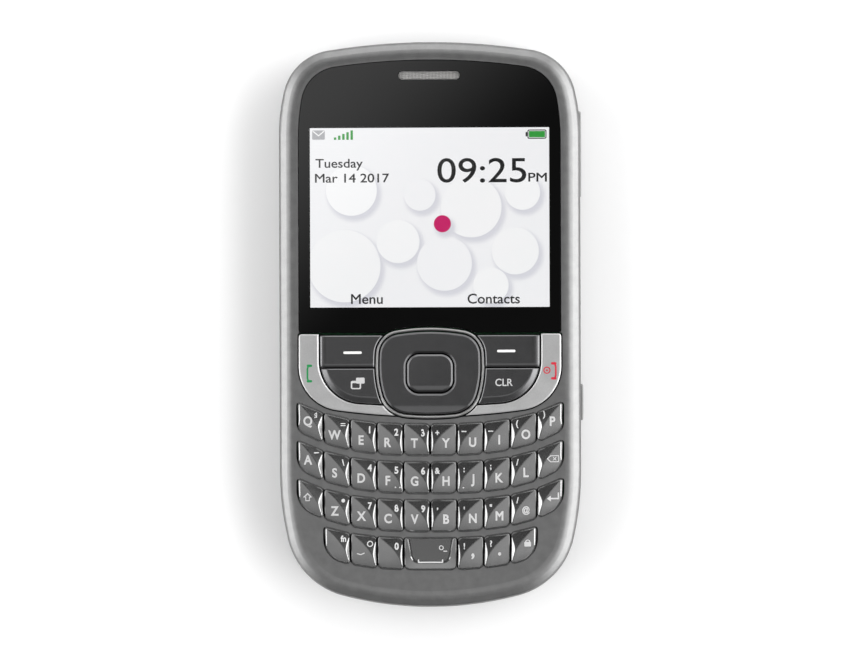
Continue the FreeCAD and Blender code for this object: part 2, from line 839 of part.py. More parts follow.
def key_spots():
    """Where the mat presses and the board has a dome: under every key."""
    spots = [key_centre(row, column, taken) for _, row, column, taken, _ in key_columns()]
    return spots + CALL_PADS + SOFT_PADS + NAV_PADS


def usb_outline(sketch, room):
    """The room that the charging socket takes in the mat and the board, open at the phone's lower end."""
    rectangle(
        sketch, f"-usb_width / 2 - {room}", f"usb_width / 2 + {room}",
        f"-{HALF_LENGTH}", f"-{HALF_LENGTH} + socket_setback + usb_length + {room}",
    )


def screw_spots():
    return [
        (f"{side}{x}", y)
        for x, y in (("screw_side_x", "screw_upper_y"), ("screw_lower_x", "screw_lower_y"))
        for side in ("-", "")
    ]


def make_keypad_mat():
    body = new_body("keypad_mat")
    rim = new_sketch(body, BOARD_TOP)
    lower_outline(rim, "mat_top_y", "mat_inset")
    lower_outline(rim, "mat_top_y - mat_rim", "mat_inset + mat_rim")
    pad(body, rim, f"{MAT} - {BOARD_TOP}")
    web = new_sketch(body, MAT)
    lower_outline(web, "mat_top_y", "mat_inset")
    pad(body, web, "mat_sheet")
    pads = new_sketch(body, MAT_TOP)
    circles(pads, key_spots(), "mat_pad_radius")
    pad(body, pads, "mat_pad_height")
    holes = new_sketch(body, BOARD_TOP)
    circles(holes, screw_spots()[2:], "boss_radius + boss_clearance")
    usb_outline(holes, "boss_clearance")
    pocket(body, holes, "body_thickness")
    finished.append(body)


# Display, window and earpiece

def ear_outline(sketch, inset="0"):
    centred_rectangle(
        sketch, "0", "ear_centre_y", f"ear_length - 2 * ({inset})", f"ear_width - 2 * ({inset})",
        f"ear_corner - ({inset})",
    )


def make_display_window():
    body = new_body("display_window")
    plate = new_sketch(body, LEDGE_TOP)
    smooth_outline(plate, LENS_HALF, LENS_TOP, LENS_FOOT)
    pad(body, plate, "lens_thickness")
    ring = new_sketch(body, LEDGE_TOP)
    nav_outline(ring, "-nav_gap")
    raised = pocket(body, ring, "2 * lens_thickness")
    dress(body, "Chamfer", raised, FACE, "lens_chamfer")
    slot = new_sketch(body, LEDGE_TOP)
    ear_outline(slot)
    pocket(body, slot, "2 * lens_thickness")
    finished.append(body)


def make_earpiece_grille():
    """A thin plate with two rows of holes, sunk into the window's slot."""
    body = new_body("earpiece_grille")
    plate = new_sketch(body, LEDGE_TOP)
    ear_outline(plate, "ear_clearance")
    pad(body, plate, "lens_thickness - ear_recess")
    holes = new_sketch(body, LEDGE_TOP)
    spots = [
        (f"{i - (EAR_HOLES - 1) / 2} * ear_hole_pitch", f"ear_centre_y {sign} ear_hole_step")
        for i in range(EAR_HOLES) for sign in ("+", "-")
    ]
    circles(holes, spots, "ear_hole")
    pocket(body, holes, "lens_thickness")
    finished.append(body)


def make_display_module():
    """The metal frame and the glass that it holds."""
    frame = new_body("display_frame")
    outline = new_sketch(frame, BOARD_TOP)
    centred_rectangle(outline, "0", "display_centre_y", "display_width", "display_height", "small_round")
    pad(frame, outline, "display_thickness")
    view = new_sketch(frame, f"{LEDGE} - display_gap")
    view_outline(view)
    pocket(frame, view, "display_thickness / 2", away=False)
    glass = block(
        "display_glass",
        ("-active_width / 2 - active_margin", "display_centre_y - active_height / 2 - active_margin",
         f"{BOARD_TOP} + display_thickness / 2"),
        ("active_width + 2 * active_margin", "active_height + 2 * active_margin",
         "display_thickness / 2 - display_frame_lip"),
    )
    finished.append(group("display_module", [frame, glass]))


# Front housing

def both_sides(near, far):
    """Left and right limits of a strip at the left side of the phone and at its right side."""
    return (f"-({far})", f"-({near})"), (near, far)


def side_key_opening(body, y, length):
    opening = new_sketch(body, PLATE_TOP)
    rectangle(
        opening, f"{HALF_WIDTH} - 2 * shell_wall", "body_width",
        f"{y} - {length} / 2 - side_key_gap", f"{y} + {length} / 2 + side_key_gap",
    )
    pocket(body, opening, "side_key_height + 2 * side_key_gap")


def end_bore(body, x, z, radius, sign):
    """A round hole through the wall at one end of the phone, square to that wall."""
    hole = new_sketch(body, f"{'' if sign < 0 else '-'}({HALF_LENGTH} - 2 * upper_wall)", "XZ_Plane")
    circles(hole, [(x, z)], radius)
    pocket(body, hole, "body_length", away=sign < 0)


def slope_rim(body, solid):
    """A shallow slope round the face, blended into the face and into the side wall."""
    slope = dress(body, "Chamfer", solid, FACE, "rim_slope_width")
    slope.ChamferType = "Two distances"
    slope.FlipDirection = True
    bind(slope, "Size2", "rim_slope_drop")
    blended = dress(body, "Fillet", slope, FACE, "rim_upper_round")
    dress(body, "Fillet", blended, f"{FACE} - rim_slope_drop", "rim_lower_round")


def make_front_housing():
    """The painted shell that carries the window, the webs between the key rows and the screw bosses."""
    body = new_body("front_housing")
    outline = new_sketch(body, SEAM)
    body_outline(outline)
    solid = pad(body, outline, f"{FACE} - {SEAM}")
    slope_rim(body, solid)
    cavity = new_sketch(body, SEAM)
    body_outline(cavity, "shell_wall")
    pocket(body, cavity, f"{FACE} - upper_wall_depth - {SEAM}")
    narrow = new_sketch(body, f"{FACE} - upper_wall_depth")
    body_outline(narrow, "upper_wall")
    pocket(body, narrow, "upper_wall_depth - (lens_thickness + ledge_thickness)")
    keypad = new_sketch(body, LEDGE)
    lower_outline(keypad, "lens_foot_y", "upper_wall")
    pocket(body, keypad, f"{WEB} - {LEDGE}")
    seat = new_sketch(body, LEDGE_TOP)
    foot = ("lens_foot_y - lens_clearance", "lens_foot_corner")
    smooth_outline(seat, LENS_HALF, LENS_TOP, foot, "-lens_clearance")
    pocket(body, seat, "body_thickness")
    view = new_sketch(body, LEDGE)
    view_outline(view, "active_margin")
    pocket(body, view, "body_thickness")
    port = new_sketch(body, LEDGE)
    centred_rectangle(port, "0", "ear_centre_y", "ear_port_length", "ear_port_width")
    pocket(body, port, "body_thickness")
    cluster = new_sketch(body, LEDGE)
    smooth_outline(cluster, LENS_HALF, ("lens_foot_y", "cluster_corner"), CALL_END, "-cluster_gap")
    pocket(body, cluster, "body_thickness")
    ring = new_sketch(body, LEDGE)
    nav_outline(ring, "-nav_gap")
    pocket(body, ring, "body_thickness")
    for row in range(len(ROWS)):
        for parity in (0, 1):
            slots = new_sketch(body, WEB)
            keys = [key for key in key_columns() if key[1] == row]
            for _, _, column, taken, end_round in keys[parity::2]:
                polygon(slots, key_corners(
                    row, column, taken, end_round,
                    "key_gap / 2 + slot_overlap", "slot_gap", "slot_gap", "slot_gap",
                ))
            pocket(body, slots, "body_thickness")
    side_key_opening(body, "rocker_y", "rocker_length")
    side_key_opening(body, "camera_key_y", "camera_key_length")
    end_bore(body, "jack_x", JACK_Z, "jack_opening", 1)
    end_bore(body, "mic_x", SOCKET_Z, "mic_hole", -1)
    socket = new_sketch(body, f"{SOCKET_Z} - usb_height / 2 - usb_clearance / 2")
    rectangle(
        socket, "-(usb_width + usb_clearance) / 2", "(usb_width + usb_clearance) / 2",
        "-body_length", f"-{HALF_LENGTH} + 2 * upper_wall",
    )
    pocket(body, socket, "usb_height + usb_clearance")
    catches = new_sketch(body, SEAM)
    half = "(catch_length / 2 + plate_clearance)"
    for left, right in both_sides(f"{HALF_WIDTH} - 2 * shell_wall", f"{HALF_WIDTH} - shell_wall / 2"):
        rectangle(catches, left, right, f"catch_y - {half}", f"catch_y + {half}")
    pocket(body, catches, "plate_thickness + plate_clearance")
    for spots, roof in ((screw_spots()[:2], LEDGE), (screw_spots()[2:], WEB)):
        bosses = new_sketch(body, BOARD_TOP)
        circles(bosses, spots, "boss_radius")
        pad(body, bosses, f"{roof} - {BOARD_TOP}")
        holes = new_sketch(body, BOARD_TOP)
        circles(holes, spots, "screw_radius + screw_fit")
        pocket(body, holes, f"{LEDGE} - {BOARD_TOP}")
    finished.append(body)


# Rear housing, the frame that the battery and the back cover fit

def plate_opening(body, x, y, width, length):
    opening = new_sketch(body, PLATE)
    centred_rectangle(opening, x, y, width, length)
    pocket(body, opening, "body_thickness")


def bay_ends():
    low = "battery_centre_y - battery_length / 2 - battery_play"
    high = "battery_centre_y + battery_length / 2 + battery_play + bay_contact_room"
    return low, high


def make_rear_housing():
    body = new_body("rear_housing")
    block_end = "cover_end_y + seam_gap"
    back_block(body, "-body_length", block_end)
    inner = new_sketch(body, "back_skin + rear_step")
    upper_outline(inner, f"{block_end} + cover_wall", "rear_wall")
    pocket(body, inner, f"{PLATE} - back_skin - rear_step")
    inner = new_sketch(body, "back_skin")
    upper_outline(inner, f"{block_end} + cover_wall", "rear_wall + rear_step")
    pocket(body, inner, "rear_step")
    plate = new_sketch(body, PLATE)
    body_outline(plate, "shell_wall + plate_clearance")
    pad(body, plate, f"{PLATE_TOP} - {PLATE}")
    frame = new_sketch(body, "frame_foot")
    lower_outline(frame, f"{block_end} + cover_wall / 2", "cover_wall + cover_fit")
    lower_outline(frame, f"{block_end} - frame_wall", "cover_wall + cover_fit + frame_wall")
    pad(body, frame, f"{PLATE} - frame_foot")
    low, high = bay_ends()
    reach = "battery_width / 2 + battery_play"
    bay = new_sketch(body, "frame_foot")
    outer = f"{reach} + bay_wall"
    rectangle(bay, f"-({outer})", outer, f"{low} - bay_wall", f"{high} + bay_wall")
    rectangle(bay, f"-({reach})", reach, low, high)
    pad(body, bay, f"{PLATE} - frame_foot")
    supports = new_sketch(body, "frame_foot")
    circles(supports, screw_spots(), "rear_boss_radius")
    pad(body, supports, f"{BOARD} - frame_foot")
    holes = new_sketch(body)
    circles(holes, screw_spots(), "screw_radius + 2 * screw_fit")
    pocket(body, holes, "body_thickness")
    heads = new_sketch(body)
    circles(heads, screw_spots(), "screw_head_radius + 2 * screw_fit")
    pocket(body, heads, "screw_head_z + screw_head_height")
    tabs = new_sketch(body, SEAM)
    tab_end = f"{HALF_WIDTH} - shell_wall / 2 - plate_clearance"
    for left, right in both_sides(f"{HALF_WIDTH} - 2 * shell_wall", tab_end):
        rectangle(tabs, left, right, "catch_y - catch_length / 2", "catch_y + catch_length / 2")
    pad(body, tabs, "plate_thickness - plate_clearance")
    glass_seat = new_sketch(body)
    circles(glass_seat, [("0", "camera_y")], "camera_glass_radius + screw_fit")
    pocket(body, glass_seat, "camera_glass_recess + camera_glass_thickness")
    barrel = new_sketch(body)
    circles(barrel, [("0", "camera_y")], "camera_barrel_radius + plate_clearance")
    pocket(body, barrel, "back_skin + rear_step")
    room = "4 * plate_clearance"
    plate_opening(body, "0", "camera_y", f"camera_square + {room}", f"camera_square + {room}")
    jack_notch = f"jack_setback + jack_length + {room} / 2"
    plate_opening(body, "jack_x", f"{HALF_LENGTH} - ({jack_notch}) / 2", f"jack_width + {room}", jack_notch)
    plate_opening(body, "0", CONTACT_Y, f"contact_width + {room}", "contact_depth + 2 * plate_clearance")
    plate_opening(body, "0", "card_y", "card_width - 2 * card_rail", "card_length - 2 * card_rail")
    slots = new_sketch(body)
    for i in range(SPEAKER_SLOTS):
        centred_rectangle(
            slots, "speaker_x", f"speaker_y + {i - (SPEAKER_SLOTS - 1) / 2} * speaker_slot_pitch",
            "speaker_slot_length", "speaker_slot_width", "speaker_slot_width / 3",
        )
    pocket(body, slots, "back_skin + rear_step")
    groove_depth = f"{HALF_WIDTH} - cover_wall - cover_hook_reach - cover_fit"
    for edges in both_sides(groove_depth, "body_width"):
        groove = new_sketch(body, "cover_hook_z - cover_fit")
        rectangle(groove, *edges, "cover_hook_second_y - cover_hook_length - cover_slide", "cover_end_y")
        pocket(body, groove, "cover_hook_height + 2 * cover_fit")
        for hook_y in ("cover_hook_first_y", "cover_hook_second_y"):
            way_out = new_sketch(body)
            middle = f"{hook_y} - cover_slide"
            half = "cover_hook_length / 2 + cover_fit"
            rectangle(way_out, *edges, f"{middle} - {half}", f"{middle} + {half}")
            pocket(body, way_out, "cover_hook_z")
    for side in ("-", ""):
        tongue_way = new_sketch(body, "back_skin")
        centred_rectangle(
            tongue_way, f"{side}cover_tongue_x", "cover_end_y + cover_tongue_reach / 2",
            "cover_tongue_width + 2 * cover_fit", "cover_tongue_reach + 2 * cover_fit",
        )
        pocket(body, tongue_way, "cover_tongue_thickness + 2 * cover_fit")
    finished.append(body)


def make_battery_cover():
    """The back cover: it wraps the sides and the lower end, and slides off downwards."""
    body = new_body("battery_cover")
    back_block(body, "cover_end_y", "body_length")
    inner = new_sketch(body, "back_skin + rear_step")
    lower_outline(inner, "body_length", "cover_wall")
    pocket(body, inner, "body_thickness")
    inner = new_sketch(body, "back_skin")
    lower_outline(inner, "body_length", "cover_wall + rear_step")
    pocket(body, inner, "2 * rear_step")
    hooks = new_sketch(body, "cover_hook_z")
    hook_end = f"{HALF_WIDTH} - cover_wall - cover_hook_reach"
    for edges in both_sides(hook_end, f"{HALF_WIDTH} - cover_wall / 2"):
        for hook_y in ("cover_hook_first_y", "cover_hook_second_y"):
            half = "cover_hook_length / 2"
            rectangle(hooks, *edges, f"{hook_y} - {half}", f"{hook_y} + {half}")
    pad(body, hooks, "cover_hook_height")
    roots = new_sketch(body, "back_skin / 2")
    tongues = new_sketch(body, "back_skin + cover_fit")
    for side in ("-", ""):
        x = f"{side}cover_tongue_x"
        root_y = "cover_end_y - cover_tongue_reach / 2 - cover_fit"
        centred_rectangle(roots, x, root_y, "cover_tongue_width", "cover_tongue_reach")
        tongue_length = "2 * cover_tongue_reach - cover_fit"
        centred_rectangle(tongues, x, "cover_end_y - cover_fit / 2", "cover_tongue_width", tongue_length)
    pad(body, roots, "back_skin / 2 + cover_fit")
    pad(body, tongues, "cover_tongue_thickness")
    finished.append(body)


# Pieces inside

def make_battery():
    body = new_body("battery")
    outline = new_sketch(body, "back_skin + battery_gap")
    centred_rectangle(outline, "0", "battery_centre_y", "battery_width", "battery_length", "battery_round")
    solid = pad(body, outline, "battery_thickness")
    dress(body, "Chamfer", solid, "back_skin + battery_gap", "key_chamfer")
    finished.append(body)


def make_camera_module():
    """The camera's square base with its barrel, and the round glass in the back."""
    camera = new_body("camera_base")
    square = new_sketch(camera, "back_skin + rear_step")
    centred_rectangle(square, "0", "camera_y", "camera_square", "camera_square", "camera_square / 16")
    pad(camera, square, f"{BOARD} - back_skin - rear_step")
    barrel = new_sketch(camera, "camera_glass_recess + camera_glass_thickness + screw_fit")
    circles(barrel, [("0", "camera_y")], "camera_barrel_radius")
    pad(camera, barrel, "back_skin + rear_step - camera_glass_recess - camera_glass_thickness")
    pupil = new_sketch(camera)
    circles(pupil, [("0", "camera_y")], "camera_barrel_radius / 2")
    pocket(camera, pupil, "back_skin + rear_step")
    glass = peg(
        "camera_glass", "0", "camera_y", "camera_glass_recess", "camera_glass_radius",
        "camera_glass_thickness",
    )
    finished.append(group("camera_module", [camera, glass]))


def make_loudspeaker():
    body = new_body("loudspeaker")
    case = new_sketch(body, "back_skin")
    circles(case, [("speaker_x", "speaker_y")], "speaker_radius")
    pad(body, case, "speaker_depth")
    mouth = new_sketch(body, "back_skin")
    circles(mouth, [("speaker_x", "speaker_y")], "speaker_radius - speaker_radius / 6")
    pocket(body, mouth, "speaker_depth / 6")
    magnet = new_sketch(body, "back_skin + speaker_depth")
    circles(magnet, [("speaker_x", "speaker_y")], "speaker_radius / 2")
    pad(body, magnet, f"{PLATE} - back_skin - speaker_depth")
    finished.append(body)


def make_housing_screws():
    """Four screws from the back, through the rear housing and the board into the front housing."""
    screws = []
    for i, (x, y) in enumerate(screw_spots(), start=1):
        head = peg(f"screw_head_{i}", x, y, "screw_head_z", "screw_head_radius", "screw_head_height")
        shank = peg(
            f"screw_shank_{i}", x, y, "screw_head_z + screw_head_height", "screw_radius",
            "screw_length - screw_head_height",
        )
        screw = document.addObject("Part::Fuse", f"screw_{i}")
        screw.Base = head
        screw.Tool = shank
        socket = peg(f"screw_socket_{i}", x, y, "screw_head_z", "screw_radius / 2", "screw_head_height / 2")
        screws.append(cut(f"screw_with_socket_{i}", screw, socket))
    finished.append(group("housing_screws", screws))


def make_board():
    """The bare board, with holes for the screws and notches for the sockets."""
    board = new_body("bare_board")
    outline = new_sketch(board, BOARD)
    body_outline(outline, "board_inset")
    pad(board, outline, "board_thickness")
    holes = new_sketch(board, BOARD)
    circles(holes, screw_spots(), "screw_radius + 2 * screw_fit")
    pocket(board, holes, "body_thickness")
    notches = new_sketch(board, BOARD)
    usb_outline(notches, "screw_fit")
    rectangle(
        notches, "jack_x - jack_width / 2 - screw_fit", "jack_x + jack_width / 2 + screw_fit",
        f"{HALF_LENGTH} - jack_setback - jack_length - screw_fit", HALF_LENGTH,
    )
    pocket(board, notches, "body_thickness")
    return board


def make_usb_socket():
    """A sheet-metal socket, open at the end, with its tongue."""
    low_z = f"{SOCKET_Z} - usb_height / 2"
    mouth_y = f"-{HALF_LENGTH} + socket_setback"
    shell = block(
        "usb_shell", ("-usb_width / 2", mouth_y, low_z), ("usb_width", "usb_length", "usb_height"),
    )
    inside = block(
        "usb_inside", ("-usb_width / 2 + usb_wall", f"{mouth_y} - usb_wall", f"{low_z} + usb_wall"),
        ("usb_width - 2 * usb_wall", "usb_length", "usb_height - 2 * usb_wall"),
    )
    tongue = block(
        "usb_tongue",
        ("-usb_width / 4", f"{mouth_y} + usb_tongue_setback", f"{low_z} + usb_height / 2"),
        ("usb_width / 2", "usb_length - usb_tongue_setback - usb_wall", "usb_tongue_thickness"),
    )
    return [cut("usb_socket", shell, inside), tongue]


def make_headset_jack():
    """A round bore for the headset plug, in a moulded block that sits in the board's notch."""
    jack = new_body("headset_jack")
    mouth_y = f"{HALF_LENGTH} - jack_setback"
    base = new_sketch(jack, f"{JACK_Z} - jack_body_height / 2")
    centred_rectangle(base, "jack_x", f"{mouth_y} - jack_length / 2", "jack_width", "jack_length")
    pad(jack, base, "jack_body_height")
    bore = new_sketch(jack, f"-({mouth_y})", "XZ_Plane")
    circles(bore, [("jack_x", JACK_Z)], "jack_bore")
    pocket(jack, bore, "jack_length - jack_wall")
    return jack


def make_side_switches():
    """Two switches for the volume rocker and one for the camera key, on the underside of the board."""
    places = (
        ("rocker_y - rocker_length / 3", "rocker_play"),
        ("rocker_y + rocker_length / 3", "rocker_play"),
        ("camera_key_y", "camera_key_play"),
    )
    switches = []
    for i, (y, play) in enumerate(places, start=1):
        left = f"{HALF_WIDTH} - shell_wall - {play} - side_flange - switch_gap - switch_depth"
        switches.append(block(
            f"side_switch_{i}", (left, f"{y} - switch_length / 2", f"{BOARD} - shield_height"),
            ("switch_depth", "switch_length", "shield_height"),
        ))
    return switches


def make_circuit_board():
    """The board with everything that is soldered to it."""
    pieces = [make_board(), make_headset_jack()] + make_usb_socket() + make_side_switches()
    for i, (x, y) in enumerate(key_spots(), start=1):
        pieces.append(peg(f"dome_{i}", x, y, BOARD_TOP, "dome_radius", "dome_height"))
    for name in ("radio", "processor", "power"):
        pieces.append(block(
            f"{name}_shield", (f"{name}_x", f"{name}_y", f"{BOARD} - shield_height"),
            (f"{name}_width", f"{name}_length", "shield_height"),
        ))
    pieces.append(block(
        "card_socket", ("-card_width / 2", "card_y - card_length / 2", f"{BOARD} - shield_height"),
        ("card_width", "card_length", "shield_height"),
    ))
    pieces.append(block(
        "battery_contacts",
        ("-contact_width / 2", f"{CONTACT_Y} - contact_depth / 2", "frame_foot + battery_gap"),
        ("contact_width", "contact_depth", f"{BOARD} - frame_foot - battery_gap"),
    ))
    pieces.append(block(
        "ear_receiver", ("-ear_length / 2", "ear_centre_y - receiver_depth / 2", BOARD_TOP),
        ("ear_length", "receiver_depth", f"{LEDGE} - {BOARD_TOP} - display_gap"),
    ))
    pieces.append(peg(
        "microphone", "mic_x", f"-{HALF_LENGTH} + board_inset + microphone_radius + screw_fit",
        f"{BOARD} - shield_height", "microphone_radius", "shield_height",
    ))
    pieces.append(peg(
        "vibration_motor", "motor_x", "ear_centre_y", BOARD_TOP, "motor_radius", "motor_height",
    ))
    finished.append(group("circuit_board", pieces))


# Side keys

def make_side_key(label, y, length, proud, play, fulcrum=False):
    """A key in the right-hand wall: a stem through the opening and a wider flange behind the wall."""
    body = new_body(label)
    level = SIDE_KEY_Z
    inner = f"{HALF_WIDTH} - shell_wall - {play} - side_flange"
    flange = new_sketch(body, level)
    half = f"({length} / 2 + side_flange_lap)"
    rectangle(flange, inner, f"{inner} + side_flange", f"{y} - {half}", f"{y} + {half}")
    pad(body, flange, "side_key_height")
    stem = new_sketch(body, level)
    corner = "side_key_round"
    face = f"{HALF_WIDTH} + {proud}"
    polygon(stem, [
        (f"{inner} + side_flange / 2", f"{y} - {length} / 2", None),
        (face, f"{y} - {length} / 2", corner),
        (face, f"{y} + {length} / 2", corner),
        (f"{inner} + side_flange / 2", f"{y} + {length} / 2", None),
    ])
    pad(body, stem, "side_key_height")
    if fulcrum:
        pivot = new_sketch(body, level)
        board_edge = f"{HALF_WIDTH} - board_inset"
        rectangle(
            pivot, f"{board_edge} + screw_fit", f"{inner} + side_flange / 2",
            f"{y} - fulcrum_width / 2", f"{y} + fulcrum_width / 2",
        )
        pad(body, pivot, "side_key_height")
    finished.append(body)


make_front_housing()
make_display_window()
make_earpiece_grille()
make_display_module()
make_nav_trim()
make_nav_pad()
make_ok_key()
make_call_and_soft_keys()
for key in key_columns():
    make_letter_key(*key)
make_keypad_mat()
make_circuit_board()
make_side_key("volume_rocker", "rocker_y", "rocker_length", "rocker_proud", "rocker_play", fulcrum=True)
make_side_key("camera_key", "camera_key_y", "camera_key_length", "camera_key_proud", "camera_key_play")
make_rear_housing()
make_battery()
make_battery_cover()
make_camera_module()
make_loudspeaker()
make_housing_screws()
document.recompute()

for item in document.Objects:
    if "Invalid" in item.State or "Error" in item.State:
        raise ValueError(f"{item.Name} ({item.Label}) failed: {item.State}")
    if item.TypeId == "PartDesign::Pocket":
        if item.Shape.Volume > item.BaseFeature.Shape.Volume - LEAST_CUT:
            raise ValueError(f"{item.Name} cuts nothing from {item.getParent().Label}")
for item in finished:
    if item.Shape.isNull() or not item.Shape.isValid():
        raise ValueError(f"{item.Label} has no valid shape")

os.makedirs("parts", exist_ok=True)
for item in finished:
    item.Shape.exportStep(f"parts/{item.Label}.step")
    print(f"{item.Label}: {len(item.Shape.Solids)} solids, {item.Shape.Volume:.1f} mm3")
print(f"{len(finished)} sub-parts")
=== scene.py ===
"""A keyboard phone on a pale table: keys, window, lit screen, grille and finishes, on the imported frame."""

import math

import bpy
import numpy as np
from mathutils import Matrix, Vector
from mathutils.geometry import delaunay_2d_cdt


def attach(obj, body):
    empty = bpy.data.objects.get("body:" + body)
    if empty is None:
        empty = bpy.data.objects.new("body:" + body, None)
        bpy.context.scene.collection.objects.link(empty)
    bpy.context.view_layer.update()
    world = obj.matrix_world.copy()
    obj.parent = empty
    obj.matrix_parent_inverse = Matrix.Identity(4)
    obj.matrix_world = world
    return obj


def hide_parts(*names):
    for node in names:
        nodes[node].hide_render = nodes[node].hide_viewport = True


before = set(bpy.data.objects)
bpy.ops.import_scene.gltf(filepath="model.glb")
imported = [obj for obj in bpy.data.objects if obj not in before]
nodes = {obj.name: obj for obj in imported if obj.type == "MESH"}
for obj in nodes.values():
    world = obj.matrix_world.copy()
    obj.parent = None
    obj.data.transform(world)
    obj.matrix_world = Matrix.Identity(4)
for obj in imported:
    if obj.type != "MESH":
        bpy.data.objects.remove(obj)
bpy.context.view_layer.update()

# Heights above the table, in millimetres

MM = 0.001
FACE = 12.0
WINDOW_BACK = 10.8
WEB = 11.0
FLANGE = 10.1
FLANGE_LAP = 0.55
LETTER_PEAK = 12.57
SPACE_FACE = 12.5
CLUSTER_FACE = 12.45
NAV_FACE = 12.5
OK_FACE = 12.58
TRIM_FOOT = 9.1
TRIM_FACE = 12.3
SCREEN = 9.66
INK = 0.02

# Outlines on the face, in millimetres. An arched end is its height, the radii of its arch, corner and side,
# and the height at which the side starts to curve. A flat end is its height and corner radius.

LENS_HALF = 26.75
LENS_TOP = (54.0, 136.0, 8.0, 48.0, 37.8)
LENS_FOOT = (-1.67, 0.5)
CALL_TOP = (-1.94, 0.5)
CALL_FOOT = (-18.74, 139.0, 9.0, 16.7, -8.5)
SOFT_HALF = 22.75
SOFT_FOOT = (-16.8, 202.0, 8.9, 12.0, -7.4)
SOFT_SPLIT = -8.85
CLUSTER_GAP = 0.3
NAV_HALF = 11.1
NAV_TOP = (-0.67, 41.0, 5.0, 37.0, -8.17)
NAV_FOOT = (-19.17, 50.0, 6.2, 20.0, -8.77)
NAV_CLEARANCE = 0.38
TRIM_WIDTH = 0.55
OK_CENTRE = (0.0, -9.95)
OK_SIZE = (9.3, 7.7)
OK_ROUND = 2.5
OK_GAP = 0.35
SCREEN_CENTRE = (0.0, 21.9)
SCREEN_SIZE = (48.96, 36.72)
EAR_CENTRE = (0.0, 50.85)
EAR_SIZE = (12.5, 1.7)
EAR_ROUND = 0.8

# Letter keys: name, printed letter and second mark, row by row

ROWS = [
    ("q:Q:$ w:W:= e:E:1 r:R:2 t:T:3 y:Y:+ u:U:- i:I:_ o:O:( p:P:)".split(), 0, 2.4),
    ("a:A:~ s:S:\\ d:D:4 f:F:5 g:G:6 h:H:& j:J:colon k:K:; l:L:/ backspace::".split(), 0, 4.0),
    ("shift:: z:Z:dot x:X:7 c:C:8 v:V:9 b:B:, n:N:' m:M:\" at:@:/ enter::".split(), 0, 5.0),
    ("fn::fn symbol::ring zero::0 space:: comma:,:! period:.:? lock::".split(), 1, 4.6),
]
COLUMNS = 10
KEY_PITCH = 5.435
KEY_GAP = 0.36
KEY_HEIGHT = 6.2
ROW_PITCH = 7.76
ROW_START = -20.4
SMILE_SPAN = 26.8
SMILE_TOP = 4.3
SMILE_FOOT = 4.9

# Letter keys' forms: corner radii, the slopes beside the crease, the inner facet's slopes on left and right
# keys and its reach, the end keys' facet, and the broken edge

END_ROUND = 1.1
FOOT_ROUND = 0.6
HEAD_ROUNDS = (0.35, 0.8)
OUTWARD_SLOPE = 0.15
INWARD_SLOPE = 0.21
FACET_SLOPES = (0.62, 0.34)
FACET_REACH = 0.4
END_SLOPE = 0.6
END_REACH = 0.36
BREAK_WIDTH = 0.12
BREAK_DEPTH = 0.1


# Flat outlines

def arc(centre, radius, start, end, step=0.25):
    """Points along an arc, between two angles in radians."""
    count = max(2, math.ceil(abs(end - start) * radius / step))
    turns = np.linspace(start, end, count + 1)
    return np.column_stack([centre[0] + radius * np.cos(turns), centre[1] + radius * np.sin(turns)])


def flat_end(half, inset, height, corner):
    """The upper end of an outline with a straight top, from right to left."""
    radius = max(corner - inset, 0.05)
    x, y = half - inset - radius, height - inset - radius
    return np.vstack([arc((x, y), radius, 0, math.pi / 2), arc((-x, y), radius, math.pi / 2, math.pi)])


def arched_end(half, inset, height, arch, corner, side, side_y):
    """The upper end of an outline made of tangent arcs, from right to left."""
    side_centre = np.array([half - side, side_y])
    arch_centre = np.array([0.0, height - arch])
    across = side_centre - arch_centre
    apart = math.hypot(*across)
    along = ((arch - corner) ** 2 - (side - corner) ** 2 + apart ** 2) / (2 * apart)
    aside = math.sqrt((arch - corner) ** 2 - along ** 2)
    unit = across / apart
    corner_centre = arch_centre + along * unit + aside * np.array([unit[1], -unit[0]])
    side_turn = math.atan2(*(corner_centre - side_centre)[::-1])
    arch_turn = math.atan2(*(corner_centre - arch_centre)[::-1])
    right = np.vstack([
        arc(side_centre, side - inset, 0, side_turn),
        arc(corner_centre, corner - inset, side_turn, arch_turn)[1:],
        arc(arch_centre, arch - inset, arch_turn, math.pi / 2)[1:],
    ])
    return np.vstack([right, right[-2::-1] * [-1, 1]])


def outline(half, top, foot, inset=0.0):
    """A closed outline, anticlockwise, symmetric about the phone's middle."""
    ends = []
    for end, sign in ((top, 1), (foot, -1)):
        end = [sign * end[0], *end[1:]]
        if len(end) == 5:
            end[4] *= sign
        make = flat_end if len(end) == 2 else arched_end
        ends.append(sign * make(half, inset, *end))
    return np.vstack(ends)


def rounded(corners):
    """A closed outline through corners (x, y, radius), anticlockwise."""
    points = []
    for i, (x, y, radius) in enumerate(corners):
        before, after = corners[i - 1], corners[(i + 1) % len(corners)]
        arrive = math.atan2(y - before[1], x - before[0])
        leave = math.atan2(after[1] - y, after[0] - x)
        turn = (leave - arrive + math.pi) % (2 * math.pi) - math.pi
        back = radius * math.tan(turn / 2)
        start = np.array([x - back * math.cos(arrive), y - back * math.sin(arrive)])
        centre = start + radius * np.array([-math.sin(arrive), math.cos(arrive)])
        points.append(arc(centre, radius, arrive - math.pi / 2, arrive - math.pi / 2 + turn, 0.12))
    return np.vstack(points)


def oblong(centre, width, height, radius):
    """A rectangle with round corners."""
    x, y = width / 2, height / 2
    corners = [(-x, -y), (x, -y), (x, y), (-x, y)]
    return rounded([(centre[0] + cx, centre[1] + cy, radius) for cx, cy in corners])


def divided(loop, step):
    """The same outline with no edge longer than a step."""
    points = []
    for start, end in zip(loop, np.roll(loop, -1, axis=0)):
        count = max(1, math.ceil(math.dist(start, end) / step))
        points += [start + (end - start) * i / count for i in range(count)]
    return np.array(points)


